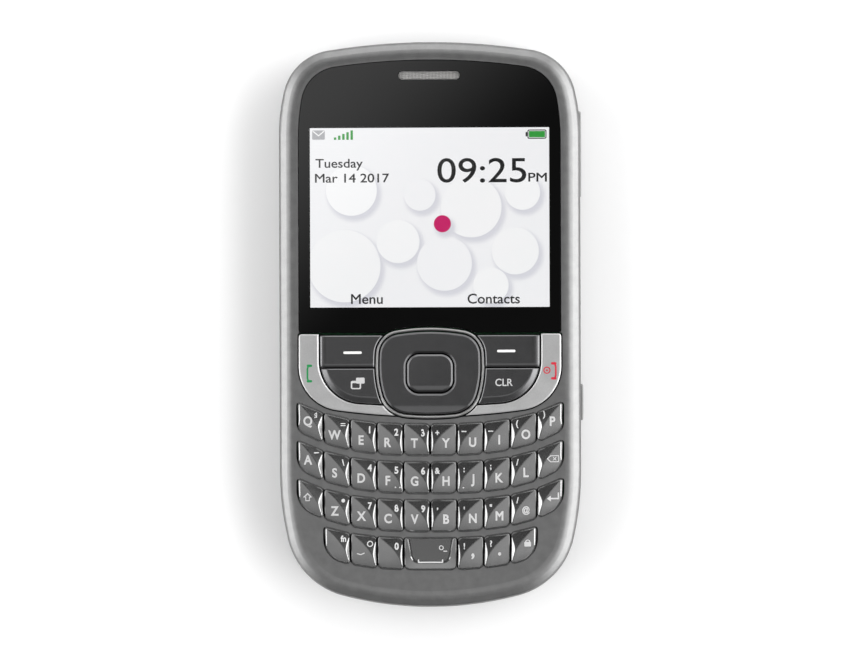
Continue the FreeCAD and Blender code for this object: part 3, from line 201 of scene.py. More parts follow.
def inside(points, loop):
    """Which points lie inside a closed outline."""
    x, y = points[:, :1], points[:, 1:2]
    start, end = loop, np.roll(loop, -1, axis=0)
    crosses = (start[:, 1] > y) != (end[:, 1] > y)
    rise = np.where(end[:, 1] == start[:, 1], 1.0, end[:, 1] - start[:, 1])
    at = start[:, 0] + (y - start[:, 1]) / rise * (end[:, 0] - start[:, 0])
    return np.sum(crosses & (x < at), axis=1) % 2 == 1


# How many points are measured at once
BATCH = 2000


def apart_from(points, loops):
    """How far each point is from the nearest of some closed outlines."""
    starts = np.vstack(loops)
    along = np.vstack([np.roll(loop, -1, axis=0) for loop in loops]) - starts
    length = np.maximum((along ** 2).sum(axis=1), 1e-12)
    best = np.empty(len(points))
    for first in range(0, len(points), BATCH):
        some = points[first:first + BATCH, None]
        share = np.clip(((some - starts) * along).sum(axis=2) / length, 0, 1)
        gaps = np.linalg.norm(some - starts - share[..., None] * along, axis=2)
        best[first:first + BATCH] = gaps.min(axis=1)
    return best


def area(inner, outer=()):
    """Outlines, and a test for points inside every one of the first and none of the others."""
    def keep(points):
        good = np.ones(len(points), bool)
        for loop in inner:
            good &= inside(points, loop)
        for loop in outer:
            good &= ~inside(points, loop)
        return good
    return [*inner, *outer], keep


def print_area(groups):
    """Outlines, and a test for points in any group. In a group, an outline inside another is a hole."""
    def keep(points):
        good = np.zeros(len(points), bool)
        for group in groups:
            odd = np.zeros(len(points), bool)
            for loop in group:
                odd ^= inside(points, loop)
            good |= odd
        return good
    return [loop for group in groups for loop in group], keep


# Shells with a shaped top

def cover(loops, keep, loose=()):
    """Triangles over an area, as flat points and corner numbers."""
    spots = [Vector(point) for loop in loops for point in loop] + [Vector(point) for point in loose]
    edges, first = [], 0
    for loop in loops:
        edges += [(first + i, first + (i + 1) % len(loop)) for i in range(len(loop))]
        first += len(loop)
    found = delaunay_2d_cdt(spots, edges, [], 0, 1e-5)
    flat, faces = np.array(found[0]), np.array(found[2])
    faces = faces[keep(flat[faces].mean(axis=1))]
    used, faces = np.unique(faces, return_inverse=True)
    return flat[used], faces.reshape(-1, 3)


def borders(faces):
    """The closed runs of edges that only one face uses."""
    pairs = [(int(a), int(b)) for face in faces for a, b in zip(face, np.roll(face, -1))]
    seen = set(pairs)
    following = {}
    for a, b in pairs:
        if (b, a) not in seen:
            following.setdefault(a, []).append(b)
    runs = []
    while following:
        first = here = next(iter(following))
        run = []
        while here in following:
            run.append(here)
            onward = following[here].pop()
            if not following[run[-1]]:
                del following[run[-1]]
            here = onward
            if here == first:
                break
        runs.append(np.array(run))
    return runs


def drawn_in(loop, depth, loops):
    """An outline moved inwards, without the points that a tight corner folds over."""
    along = np.roll(loop, -1, axis=0) - loop
    along /= np.linalg.norm(along, axis=1)[:, None]
    side = np.column_stack([-along[:, 1], along[:, 0]])
    middle = side + np.roll(side, 1, axis=0)
    middle /= np.maximum((middle ** 2).sum(axis=1), 0.5)[:, None] / 2
    moved = loop + depth * middle
    return moved[apart_from(moved, loops) > 0.96 * depth]


def shell(plan, top, foot, spacing=None, rings=()):
    """A closed shell. top(points, distance from the edge) is its height, and foot a level or the same."""
    loops, keep = plan
    if spacing:
        loops = [divided(loop, spacing) for loop in loops]
    flat, faces = cover(loops, keep)
    if spacing:
        edge = [flat[run] for run in borders(faces)]
        inner = [drawn_in(loop, depth, edge) for depth in rings for loop in edge]
        inner = [loop for loop in inner if len(loop) > 3]
        low, high = np.vstack(edge).min(axis=0), np.vstack(edge).max(axis=0)
        rows = np.arange(low[1], high[1], spacing * math.sqrt(3) / 2)
        columns = np.arange(low[0], high[0], spacing)
        grid = np.array([(x + spacing / 2 * (i % 2), y) for i, y in enumerate(rows) for x in columns])
        grid = grid[keep(grid)]
        deep = apart_from(grid, edge)
        clear = deep > spacing / 2
        for depth in rings:
            clear &= abs(deep - depth) > spacing / 3
        flat, faces = cover(edge + inner, keep, grid[clear])
    runs = borders(faces)
    edge = [flat[run] for run in runs]

    def height(spots):
        return top(spots, apart_from(spots, edge))
    count = len(flat)
    points = [np.column_stack([flat, height(flat)])]
    corners = [tuple(face) for face in faces.tolist()]
    if callable(foot):
        points.append(np.column_stack([flat, foot(flat, None)]))
        below = {i: i + count for i in range(count)}
        corners += [tuple(count + i for i in face[::-1]) for face in faces.tolist()]
    else:
        base, base_faces = cover(edge, keep)
        points.append(np.column_stack([base, np.full(len(base), foot)]))
        spots = {tuple(spot): count + place for place, spot in enumerate(base.tolist())}
        below = {int(i): spots[tuple(flat[i].tolist())] for run in runs for i in run}
        corners += [tuple(count + i for i in face[::-1]) for face in base_faces.tolist()]
    for run in runs:
        for a, b in zip(run.tolist(), np.roll(run, -1).tolist()):
            corners.append((a, below[a], below[b], b))
    return np.vstack(points), corners, height


def level(height):
    """A plain top at one height."""
    return lambda points, edge: np.full(len(points), float(height))


def bevelled(height, width, depth):
    """A level top with a sloped edge all round."""
    return lambda points, edge: height - depth * np.clip(1 - edge / width, 0, 1)


def piece(name, shells, finish, body="housing", replaced=(), slot="", turn=None, crease=32):
    """One piece from closed shells, in metres, riding on a body."""
    points = np.vstack([s[0] for s in shells])
    if turn:
        points = points[:, turn]
    corners, first = [], 0
    for shell_points, shell_corners, *_ in shells:
        corners += [tuple(first + i for i in face) for face in shell_corners]
        first += len(shell_points)
    mesh = bpy.data.meshes.new(name)
    mesh.from_pydata((points * MM).tolist(), [], corners)
    mesh.shade_smooth()
    mesh.set_sharp_from_angle(angle=math.radians(crease))
    mesh.materials.append(finish)
    made = bpy.data.objects.new(name, mesh)
    bpy.context.scene.collection.objects.link(made)
    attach(made, body)
    if replaced:
        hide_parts(*replaced)


# Printed marks

def letter_outlines(text, weight=0.0):
    """The outlines of a word in the built-in typeface, its size 1."""
    curve = bpy.data.curves.new("lettering", "FONT")
    curve.body = text
    curve.offset = weight
    curve.resolution_u = 5
    holder = bpy.data.objects.new("lettering", curve)
    mesh = bpy.data.meshes.new_from_object(holder)
    spots = np.array([vertex.co[:2] for vertex in mesh.vertices])
    faces = [tuple(polygon.vertices) for polygon in mesh.polygons]
    loops = [spots[run] for run in borders(faces)]
    bpy.data.objects.remove(holder)
    bpy.data.curves.remove(curve)
    bpy.data.meshes.remove(mesh)
    return loops


# A capital's height in the typeface, and how much narrower than the typeface letters are set
CAPITAL = np.ptp(np.vstack(letter_outlines("H"))[:, 1])
NARROW = 0.88


def word(text, centre, capital, weight=0.02, width=None):
    """A word centred on a point, with capitals that high, drawn out to a width if one is given."""
    loops = letter_outlines(text, weight)
    spots = np.vstack(loops)
    middle = (spots.min(axis=0) + spots.max(axis=0)) / 2
    size = capital / CAPITAL
    stretch = np.array([width / np.ptp(spots[:, 0]) if width else NARROW * size, size])
    return [(loop - middle) * stretch + centre for loop in loops]


def bar(start, end, width):
    """A stroke with round ends."""
    start, end = np.array(start, float), np.array(end, float)
    turn = math.atan2(*(end - start)[::-1])
    radius = width / 2
    return [np.vstack([
        arc(end, radius, turn - math.pi / 2, turn + math.pi / 2, radius / 2),
        arc(start, radius, turn + math.pi / 2, turn + 3 * math.pi / 2, radius / 2),
    ])]


def strokes(points, width):
    """Joined strokes along a line of points."""
    return [bar(a, b, width) for a, b in zip(points, points[1:])]


def ring(centre, radius, width):
    """A drawn circle."""
    return [arc(centre, radius + side * width / 2, 0, 2 * math.pi, 0.1)[:-1] for side in (1, -1)]


def disc(centre, radius):
    """A drawn disc."""
    return [arc(centre, radius, 0, 2 * math.pi, 0.1)[:-1]]


def printed(name, groups, on, ink, body, slot):
    """Ink that follows the surface under it."""
    made = shell(print_area(groups), lambda p, edge: on(p) + INK, lambda p, edge: on(p) - INK, spacing=0.3)
    piece(name, [made], ink, body, slot=slot, crease=60)


# Materials

def linear(code):
    """An sRGB hex colour as linear red, green, blue and alpha."""
    parts = [int(code[i:i + 2], 16) / 255 for i in (1, 3, 5)]
    return (*(c / 12.92 if c <= 0.04045 else ((c + 0.055) / 1.055) ** 2.4 for c in parts), 1.0)


def add(tree, kind, values=(), **settings):
    """A node with its settings. Inputs, by name or in order, get values, outputs or nodes' first outputs."""
    node = tree.nodes.new(kind)
    for name, value in settings.items():
        setattr(node, name, value)
    for name, value in values.items() if isinstance(values, dict) else enumerate(values):
        if isinstance(value, bpy.types.Node):
            value = value.outputs[0]
        if isinstance(value, bpy.types.NodeSocket):
            tree.links.new(value, node.inputs[name])
        else:
            node.inputs[name].default_value = value
    return node


def empty_tree(owner):
    """The node tree of a material or a world, with nothing in it."""
    owner.use_nodes = True
    owner.node_tree.nodes.clear()
    return owner.node_tree


# How much coarser the broad drift of a finish is than its grain
BROAD = 14


def finish(name, light, dark, roughness, grain, relief=0.0, spread=0.04, **values):
    """A material whose colour and roughness drift with a grain in mm, with a relief in mm on that grain."""
    material = bpy.data.materials.new(name)
    tree = empty_tree(material)
    place = add(tree, "ShaderNodeTexCoord").outputs["Object"]
    fine, broad = (
        add(tree, "ShaderNodeTexNoise", {"Vector": place, "Scale": 1 / (size * MM), "Detail": 2.0})
        for size in (grain, BROAD * grain)
    )
    both = add(tree, "ShaderNodeMath", (fine, broad), operation="ADD")
    share = add(tree, "ShaderNodeMapRange", (both, 0.7, 1.3))
    tint = add(tree, "ShaderNodeMix", {0: share, 6: linear(dark), 7: linear(light)}, data_type="RGBA")
    rough = add(tree, "ShaderNodeMapRange", (broad, 0.3, 0.7, roughness - spread, roughness + spread))
    settings = {"Base Color": tint.outputs[2], "Roughness": rough}
    if relief:
        bump = {"Height": fine, "Distance": relief * MM, "Strength": 1.0}
        settings["Normal"] = add(tree, "ShaderNodeBump", bump)
    shader = add(tree, "ShaderNodeBsdfPrincipled", {**settings, **values})
    add(tree, "ShaderNodeOutputMaterial", (shader,))
    return material


def parts_of(material):
    """A material's tree, its shader and the place that its patterns follow."""
    tree = material.node_tree
    shader = next(node for node in tree.nodes if node.type == "BSDF_PRINCIPLED")
    place = next(node for node in tree.nodes if node.type == "TEX_COORD").outputs["Object"]
    return tree, shader, place


# Silver-grey lacquer with fine aluminium flake, sprayed on polycarbonate: a soft sheen, a faint sparkle.
# Real flake is 0.03 mm, drawn at 0.12 mm so that it shows.
housing_lacquer = finish(
    "flake_lacquer", "#959595", "#898989", 0.34, 0.12, relief=0.0012, spread=0.012, Metallic=0.85,
)
# The same lacquer on small mouldings, polished a little by thumbs.
key_lacquer = finish(
    "thumb_polished_lacquer", "#a8a8a8", "#a2a2a2", 0.22, 0.12, relief=0.0001, spread=0.01, Metallic=1.0,
)
# Bright silver metallising under clear lacquer: the lightest surface on the face.
silver_plating = finish(
    "silver_metallising", "#d8d8d8", "#cecece", 0.44, 0.3, relief=0.0002, spread=0.012, Metallic=0.9,
)
# Graphite lacquer on hard keys: nearly black where it lies level, grey where it tilts to the light.
graphite_lacquer = finish(
    "graphite_lacquer", "#707071", "#6c6c6d", 0.24, 0.12, relief=0.0001, spread=0.01, Metallic=0.95,
)
# Polished nickel on the ring round the pad: a thin bright line.
nickel = finish("polished_nickel", "#d6d6d5", "#cfcfce", 0.34, 0.2, spread=0.01, Metallic=1.0)
# Drawn stainless steel wire: a soft grey metal.
steel_wire = finish("drawn_steel_wire", "#cccbc9", "#c0bfbd", 0.45, 0.06, relief=0.001, Metallic=1.0)
# Injection-moulded acrylic, polished: clear and glossy.
clear_acrylic = finish(
    "polished_acrylic", "#ffffff", "#fdfefe", 0.004, 2.0, spread=0.001,
    **{"IOR": 1.49, "Transmission Weight": 1.0},
)
# Black ink under the window's clear hard coat: as glossy as the sheet itself.
window_ink = finish("hard_coated_black", "#050505", "#040404", 0.004, 2.0, spread=0.001, IOR=1.49)
# Inks pad-printed on the keys under lacquer: even and a little dull.
white_ink = finish("pad_printed_white", "#f4f4f2", "#e8e8e6", 0.42, 0.1, IOR=1.5)
pale_ink = finish("pad_printed_pale_grey", "#c6c6c6", "#bababa", 0.42, 0.1, IOR=1.5)
green_ink = finish("pad_printed_green", "#128a4a", "#0f7f43", 0.42, 0.1, IOR=1.5)
red_ink = finish("pad_printed_red", "#c8283c", "#bb2336", 0.42, 0.1, IOR=1.5)
# Spark-eroded ABS: a fine even matt grain of about 0.1 mm.
matt_abs = finish("spark_eroded_abs", "#303033", "#27272a", 0.52, 0.16, relief=0.012, IOR=1.54)
# Soft-touch lacquer over moulded ABS on the cover: a finer and duller grain.
soft_touch = finish("soft_touch_lacquer", "#2a2a2d", "#232326", 0.6, 0.1, relief=0.006, IOR=1.5)
# Silicone rubber, compression moulded: dull with a slight bloom.
silicone = finish("moulded_silicone", "#222224", "#1b1b1d", 0.65, 0.3, relief=0.004, IOR=1.41)
# Loudspeaker case in moulded black nylon: dull with a coarse grain.
black_nylon = finish("moulded_nylon", "#1d1d1f", "#161618", 0.55, 0.15, relief=0.008, IOR=1.53)
# Screws in black zinc: dark metal with a satin sheen.
black_zinc = finish("black_zinc_steel", "#6c6c70", "#58585c", 0.32, 0.08, relief=0.002, Metallic=1.0)
# The flake lacquer on the side keys, lighter than the shell.
side_lacquer = finish("side_key_lacquer", "#b8b8b8", "#aeaeae", 0.3, 0.12, relief=0.001, Metallic=0.85)
# Coated camera glass: black and very glossy.
camera_glass = finish("coated_glass", "#08080c", "#050508", 0.03, 1.0, spread=0.01, IOR=1.52)


def within(material, low, high, code, **values):
    """Inside a box, in mm, the colour and any other values are these."""
    tree, shader, place = parts_of(material)
    middle = [(a + b) / 2 * MM for a, b in zip(low, high)]
    half = [(b - a) / 2 * MM for a, b in zip(low, high)]
    away = add(tree, "ShaderNodeVectorMath", (place, middle), operation="SUBTRACT")
    size = add(tree, "ShaderNodeVectorMath", (away,), operation="ABSOLUTE")
    over = add(tree, "ShaderNodeVectorMath", (size, half), operation="SUBTRACT")
    x, y, z = add(tree, "ShaderNodeSeparateXYZ", (over,)).outputs
    most = add(tree, "ShaderNodeMath", (x, y), operation="MAXIMUM")
    most = add(tree, "ShaderNodeMath", (most, z), operation="MAXIMUM")
    share = add(tree, "ShaderNodeMath", (most, 0.0), operation="LESS_THAN")
    for name, value in {"Base Color": linear(code), **values}.items():
        socket = shader.inputs[name]
        colour = name == "Base Color"
        before = socket.links[0].from_socket if socket.is_linked else socket.default_value
        first, second, kind, out = (6, 7, "RGBA", 2) if colour else (2, 3, "FLOAT", 0)
        mixed = add(tree, "ShaderNodeMix", {0: share, first: before, second: value}, data_type=kind)
        tree.links.new(mixed.outputs[out], socket)
    return material


# A glass-fibre board under green solder mask. Its shields, domes and charging socket are tinned steel. Its
# headset jack, microphone and ear receiver are black mouldings.
board_mask = finish("green_solder_mask", "#1c6b3e", "#175c35", 0.35, 0.25, relief=0.006, IOR=1.55)
STEEL = {"code": "#b9b9b5", "Metallic": 1.0}
MOULDED = {"code": "#1a1a1c", "Metallic": 0.0}
for low, high, look in (
    ((-30, -58, 8.02), (30, 58, 10), STEEL), ((-22.6, 2.4, 6.2), (-5.4, 32.6, 7.18), STEEL),
    ((4.9, 21.9, 6.2), (23.1, 38.1, 7.18), STEEL), ((7.9, -42.1, 6.2), (20.1, -29.9, 7.18), STEEL),
    ((-12.1, -21.6, 6.2), (12.1, -6.4, 7.18), STEEL), ((-3.8, -57.2, 6.3), (3.8, -51.7, 8.9), STEEL),
    ((11.7, 43.2, 5.6), (18.3, 53.2, 10), MOULDED), ((-1.9, -56.3, 7.58), (1.9, -52, 8.12), MOULDED),
    ((-13, 48, 8.02), (7, 54, 10), MOULDED),
):
    within(board_mask, low, high, **look)
# The battery: a drawn aluminium can in a plastic wrap.
battery_wrap = finish("battery_wrap", "#3a3b3f", "#333438", 0.35, 0.4, relief=0.003, IOR=1.5)


# Letter keys

def smile(x, rise):
    """How far a row's edge climbs towards the side of the phone."""
    return rise * (abs(x) / SMILE_SPAN) ** 3


def key_corners(row, column, taken, end_round, lap=0.0):
    """The corners of a letter key, its radii larger on the side that faces the phone's edge."""
    side = int(np.sign(column + taken / 2 - COLUMNS / 2))
    left = (column - COLUMNS / 2) * KEY_PITCH + KEY_GAP / 2
    right = (column + taken - COLUMNS / 2) * KEY_PITCH - KEY_GAP / 2
    low = ROW_START - row * ROW_PITCH - KEY_HEIGHT - lap
    high = ROW_START - row * ROW_PITCH + lap
    outer = end_round or END_ROUND
    small, large = HEAD_ROUNDS
    foot = {-1: (outer, FOOT_ROUND), 1: (FOOT_ROUND, outer), 0: (outer, outer)}[side]
    head = {-1: (small, large), 1: (large, small), 0: (small, small)}[side]
    return [
        (left, low + smile(left, SMILE_FOOT), foot[0]),
        (right, low + smile(right, SMILE_FOOT), foot[1]),
        (right, high + smile(right, SMILE_TOP), head[1]),
        (left, high + smile(left, SMILE_TOP), head[0]),
    ]


def broken(edge):
    """How much a letter key's edge is broken."""
    return BREAK_DEPTH * np.clip(1 - edge / BREAK_WIDTH, 0, 1)


def faceted(corners, mirrored, end_key, reach):
    """The top of a letter key: a slope on each side of a curved crease, and a steep inner facet."""
    left, right = corners[0][0], corners[1][0]
    width = right - left

    def top(points, edge):
        x = np.clip((points[:, 0] - left) / width, 0, 1)
        low = corners[0][1] + x * (corners[1][1] - corners[0][1])
        high = corners[3][1] + x * (corners[2][1] - corners[3][1])
        up = np.clip((points[:, 1] - low) / (high - low), 0, 1)
        across = 1 - x if mirrored else x
        crease = 0.95 - 0.9 * up ** 2.1
        lean = width * 1.89 * up ** 1.1 / KEY_HEIGHT
        aside = (across - crease) * width / np.sqrt(1 + lean ** 2)
        height = LETTER_PEAK - np.where(aside < 0, -OUTWARD_SLOPE * aside, INWARD_SLOPE * aside)
        run = np.clip((up - 0.02) / 0.93, 0, 1)
        facet = reach * np.sin(math.pi * run ** 0.85) ** 1.2
        height -= FACET_SLOPES[mirrored] * np.maximum(0, facet - (1 - across) * width)
        if end_key:
            height -= END_SLOPE * np.maximum(0, END_REACH * np.clip(up * 2.2, 0, 1) - across * width)
        return height - broken(edge)
    return top


def space_top(corners):
    """The wide key: a dish that narrows downwards between two sloping lower corners."""
    left, right = corners[0][0], corners[1][0]
    low, high = corners[0][1], corners[3][1]
    foot = low + 1.15
    dish = rounded([
        (left + 1.5, foot, 1.7), (right - 1.5, foot, 1.7),
        (right - 0.35, high + 1.5, 0.1), (left + 0.35, high + 1.5, 0.1),
    ])

    def top(points, edge):
        beyond = apart_from(points, [dish])
        hollow = 0.05 * np.clip(beyond / 0.3, 0, 1) + 0.1 * np.maximum(0, points[:, 1] - foot)
        return SPACE_FACE - np.where(inside(points, dish), hollow, 0.17 * beyond) - broken(edge)
    return top


def arrow_up(centre):
    """An outlined arrow."""
    arrows = []
    for tip, base, wing, stem, foot in ((0.95, 0.0, 0.95, 0.45, -0.75), (0.62, 0.14, 0.5, 0.29, -0.58)):
        left = [(0.0, tip), (-wing, base), (-stem, base), (-stem, foot)]
        arrows.append(np.array(left + [(-x, y) for x, y in left[:0:-1]]) + centre)
    return [arrows]


def arrow_back(centre):
    """A tag that points left, with a cross in it."""
    shape = np.array([(-1.3, 0.0), (-0.55, -0.7), (1.2, -0.7), (1.2, 0.7), (-0.55, 0.7)])
    hollow = np.array([(-1.05, 0.0), (-0.47, -0.53), (1.03, -0.53), (1.03, 0.53), (-0.47, 0.53)])
    cross = [bar(np.add(centre, (0.05, s * 0.27)), np.add(centre, (0.6, -s * 0.27)), 0.15) for s in (1, -1)]
    return [[shape + centre, hollow + centre], *cross]


def arrow_return(centre):
    """A line that comes down and turns left into an arrowhead."""
    head = np.array([(-1.3, -0.35), (-0.5, -0.95), (-0.5, 0.25)]) + centre
    x, y = centre
    return [*strokes([(x + 1.05, y + 0.75), (x + 1.05, y - 0.35), (x - 0.6, y - 0.35)], 0.3), [head]]


def padlock(centre):
    """A closed padlock."""
    x, y = centre
    shackle = [np.vstack([
        arc((x, y + 0.15), 0.5, 0, math.pi, 0.08), arc((x, y + 0.15), 0.3, math.pi, 0, 0.08),
    ])]
    return [[oblong((x, y - 0.3), 1.35, 0.95, 0.15)], shackle]


def second_mark(mark, centre):
    """The smaller mark in a key's upper inner corner."""
    x, y = centre
    if mark == "dot":
        return [disc(centre, 0.38)]
    if mark == "ring":
        smile_line = [(x - 2.6, y - 2.0), (x - 1.9, y - 2.2), (x - 1.2, y - 1.9)]
        return [ring(centre, 0.52, 0.2), *strokes(smile_line, 0.2)]
    if mark in "-_~":
        low = {"-": 0.1, "_": -0.35, "~": 0.15}[mark]
        return [bar((x - 0.4, y + low), (x + 0.4, y + low), 0.24)]
    if mark == "=":
        return [bar((x - 0.42, y + s * 0.2), (x + 0.42, y + s * 0.2), 0.18) for s in (1, -1)]
    text = {"colon": ":"}.get(mark, mark)
    return [word(text, centre, 1.3 if text.isdigit() else 1.15, 0.035)]


# Keys with a drawn sign, and their letters' size where it isn't the usual one
SIGNS = {"shift": arrow_up, "backspace": arrow_back, "enter": arrow_return}
LETTER_SIZE = 1.78
LETTER_SIZES = {"@": 1.2, ",": 2.6, ".": 2.6}


def make_letter_key(spec, row, column, taken, end_round):
    """A key with its flange, and the marks printed on it."""
    name, letter, mark = spec.split(":")
    corners = key_corners(row, column, taken, end_round)
    middle = column + taken / 2 - COLUMNS / 2
    outward = float(np.sign(middle))
    reach = FACET_REACH + 0.15 * max(0.0, abs(middle) - 1.5)
    top = space_top(corners) if name == "space" else faceted(corners, middle > 0, bool(end_round), reach)
    cap = shell(area([rounded(corners)]), top, WEB - 0.1, spacing=0.16, rings=(BREAK_WIDTH,))
    wide = key_corners(row, column, taken, end_round, FLANGE_LAP)
    flange = shell(area([rounded(wide)]), level(WEB), FLANGE)
    body = f"key_{name}"
    piece(f"cap_{name}", [cap, flange], key_lacquer, body, [body], "housing_paint")
    x = (corners[0][0] + corners[1][0]) / 2
    y = sum(corner[1] for corner in corners) / 4
    drop = -0.7 if not end_round else 0.1
    groups = []
    if name in SIGNS:
        groups += SIGNS[name]((x + 0.6 * outward, y + 0.2))
    if name == "lock":
        groups += padlock((x + 0.8, y + 0.5))
    if letter:
        size = LETTER_SIZES.get(letter, LETTER_SIZE)
        groups.append(word(letter, (x + 0.5 * outward, y + drop), size, 0.03))
    if mark:
        groups += second_mark(mark, (x - 1.25 * outward, y + 1.4))
    if name == "f":
        groups += [disc((x + s * 0.46 + 1.5, y - 2.1), 0.16) for s in (1, -1)]
    if name == "j":
        groups += [disc((x - 1.4, y - 2.2), 0.16)]
    if name == "space":
        low = y - 1.75
        groups += strokes([(-2.45, low + 0.45), (-2.45, low), (2.45, low), (2.45, low + 0.45)], 0.26)
        groups += [ring((2.2, y + 1.2), 0.4, 0.16), bar((2.7, y + 0.5), (3.3, y + 0.5), 0.2)]
    if groups:
        printed(f"print_{name}", groups, cap[2], pale_ink, body, slot="housing_paint")


for row, (names, column, end_round) in enumerate(ROWS):
    for place, spec in enumerate(names):
        taken = 2 if spec.startswith("space") else 1
        make_letter_key(spec, row, column, taken, end_round if place in (0, len(names) - 1) else None)
        column += taken


# Call keys, soft keys, the keys under them and the pad

def block(left, low, right, high):
    """A plain rectangle, which bounds an area on some sides."""
    return np.array([(left, low), (right, low), (right, high), (left, high)], float)


# How far rectangles reach past the keys, sideways, down and up
WIDE, BELOW, ABOVE = 40, -40, 70
HALF_PLANES = {-1: block(-WIDE, BELOW, 0, ABOVE), 1: block(0, BELOW, WIDE, ABOVE)}
SPLIT_LOW, SPLIT_HIGH = SOFT_SPLIT - CLUSTER_GAP / 2, SOFT_SPLIT + CLUSTER_GAP / 2
above_split = block(-WIDE, SPLIT_HIGH, WIDE, ABOVE)
below_split = block(-WIDE, BELOW, WIDE, SPLIT_LOW)
# An end far above the keys, for outlines that only bound them at their sides and below
FAR_TOP = (57.75, 0.5)
soft_cut = outline(SOFT_HALF, FAR_TOP, SOFT_FOOT)
soft_edge = outline(SOFT_HALF, FAR_TOP, SOFT_FOOT, CLUSTER_GAP)
soft_plan = outline(SOFT_HALF, CALL_TOP, SOFT_FOOT, CLUSTER_GAP)
call_plan = outline(LENS_HALF, CALL_TOP, CALL_FOOT)
nav_cut = outline(NAV_HALF, NAV_TOP, NAV_FOOT, -CLUSTER_GAP)

# How far in the sloped rims of the call keys, the soft keys and the keys under them reach, with the rings of
# points on the way
CALL_RIM = (0.1, 0.2, 0.32)
SOFT_RIM = (0.18,)
UNDER_RIM = (0.15,)


def call_top(points, edge):
    """A thin sloped rim round a face that leans a little at both ends."""
    y = points[:, 1]
    leaning = 0.035 * np.maximum(0, y + 9) + 0.05 * np.maximum(0, -12 - y)
    return CLUSTER_FACE - leaning - 0.1 * np.clip(1 - edge / CALL_RIM[-1], 0, 1) ** 1.5


def soft_top(points, edge):
    """A level face that falls off along the outer side and the lower edge."""
    side = SOFT_HALF - CLUSTER_GAP - abs(points[:, 0])
    low = points[:, 1] - SPLIT_HIGH
    height = CLUSTER_FACE - 0.12 * np.maximum(0, 1.6 - side) ** 2 - 0.3 * np.maximum(0, 0.6 - low)
    return height - 0.12 * np.clip(1 - edge / SOFT_RIM[0], 0, 1)


def under_top(points, edge):
    """A level face that falls off along the curved outer edge."""
    beyond = apart_from(points, [soft_edge])
    return CLUSTER_FACE - 0.42 * np.maximum(0, 1.3 - beyond) - 0.1 * np.clip(1 - edge / UNDER_RIM[0], 0, 1)


tops = {}
for side, names in (
    (-1, ("send_key", "left_soft_key", "recents_key")), (1, ("end_key", "right_soft_key", "clear_key")),
):
    for name, inner, outer, top, rim, material, slot in (
        (names[0], [call_plan], [soft_cut], call_top, CALL_RIM, silver_plating, "call_keys"),
        (names[1], [soft_plan, above_split], [], soft_top, SOFT_RIM, graphite_lacquer, "dark_keys"),
        (names[2], [soft_plan, below_split], [], under_top, UNDER_RIM, graphite_lacquer, "dark_keys"),
    ):
        plan = area([*inner, HALF_PLANES[side]], [*outer, nav_cut])
        cap = shell(plan, top, FLANGE, spacing=0.25, rings=rim)
        piece(f"cap_{name}", [cap], material, name, [name], slot)
        tops[name] = cap[2]

two_panes = [
    [oblong((-14.2, -11.4), 1.75, 1.2, 0.2)],
    [oblong((-15.1, -12.3), 2.1, 1.7, 0.35), oblong((-15.1, -12.4), 1.5, 1.0, 0.15)],
]


def handset(x, low, high, hook):
    """A receiver seen from the side: an upright back with an ear and a mouth end."""
    back = [(x + 0.15 * hook, high - 0.35), (x, high - 0.9), (x, low + 0.9), (x + 0.15 * hook, low + 0.35)]
    ends = [bar((x + 0.1 * hook, y), (x + 0.72 * hook, y), 0.5) for y in (high - 0.25, low + 0.25)]
    return [*strokes(back, 0.34), *ends]


hang_up = [*handset(25.65, -11.3, -7.75, -1), ring((23.85, -9.4), 0.62, 0.22), disc((23.85, -9.4), 0.2)]
for name, groups, key, ink, slot in (
    ("left_soft", [bar((-17.4, -5.7), (-14.15, -5.7), 0.5)], "left_soft_key", white_ink, "dark_keys"),
    ("right_soft", [bar((13.95, -5.45), (17.2, -5.45), 0.5)], "right_soft_key", white_ink, "dark_keys"),
    ("recents", two_panes, "recents_key", pale_ink, "dark_keys"),
    ("clear", [word("CLR", (15.1, -11.85), 1.42, 0.012, 3.55)], "clear_key", pale_ink, "dark_keys"),
    ("send", handset(-25.0, -11.75, -8.1, 1), "send_key", green_ink, "call_keys"),
    ("end", hang_up, "end_key", red_ink, "call_keys"),
):
    printed(f"print_{name}", groups, tops[key], ink, key, slot)


# Width of the sloped rims of the pad and the centre key
PAD_RIM = 0.35


def pad_top(points, edge):
    """A level ring with a sloped rim on both sides, softer along its lower edge."""
    height = NAV_FACE - 0.26 * np.clip(1 - edge / PAD_RIM, 0, 1)
    return height - 0.16 * np.maximum(0, -16.6 - points[:, 1]) * (points[:, 1] > -19.5)


ok_hole = oblong(OK_CENTRE, OK_SIZE[0] + 2 * OK_GAP, OK_SIZE[1] + 2 * OK_GAP, OK_ROUND + OK_GAP)
plan = area([outline(NAV_HALF, NAV_TOP, NAV_FOOT, TRIM_WIDTH + CLUSTER_GAP)], [ok_hole])
pad = shell(plan, pad_top, FLANGE, spacing=0.3, rings=(PAD_RIM,))
piece("pad_face", [pad], graphite_lacquer, "nav_pad", ["nav_pad"], "dark_keys")


def ok_top(points, edge):
    """A low dome with sloped sides and a longer slope at its foot."""
    x, y = (points - OK_CENTRE).T
    dome = 0.03 * ((x / 4.6) ** 2 + (y / 3.8) ** 2)
    foot = 0.2 * np.maximum(0, -2.6 - y)
    return OK_FACE - dome - foot - 0.24 * np.clip(1 - edge / PAD_RIM, 0, 1)


centre = shell(area([oblong(OK_CENTRE, *OK_SIZE, OK_ROUND)]), ok_top, FLANGE, spacing=0.22, rings=(PAD_RIM,))
piece("ok_face", [centre], graphite_lacquer, "ok_key", ["ok_key"], "dark_keys")


def trim_top(points, edge):
    """A half-round profile across the ring."""
    return TRIM_FACE - 0.22 * (1 - np.sin(np.clip(edge / (TRIM_WIDTH / 2), 0, 1) * math.pi / 2))


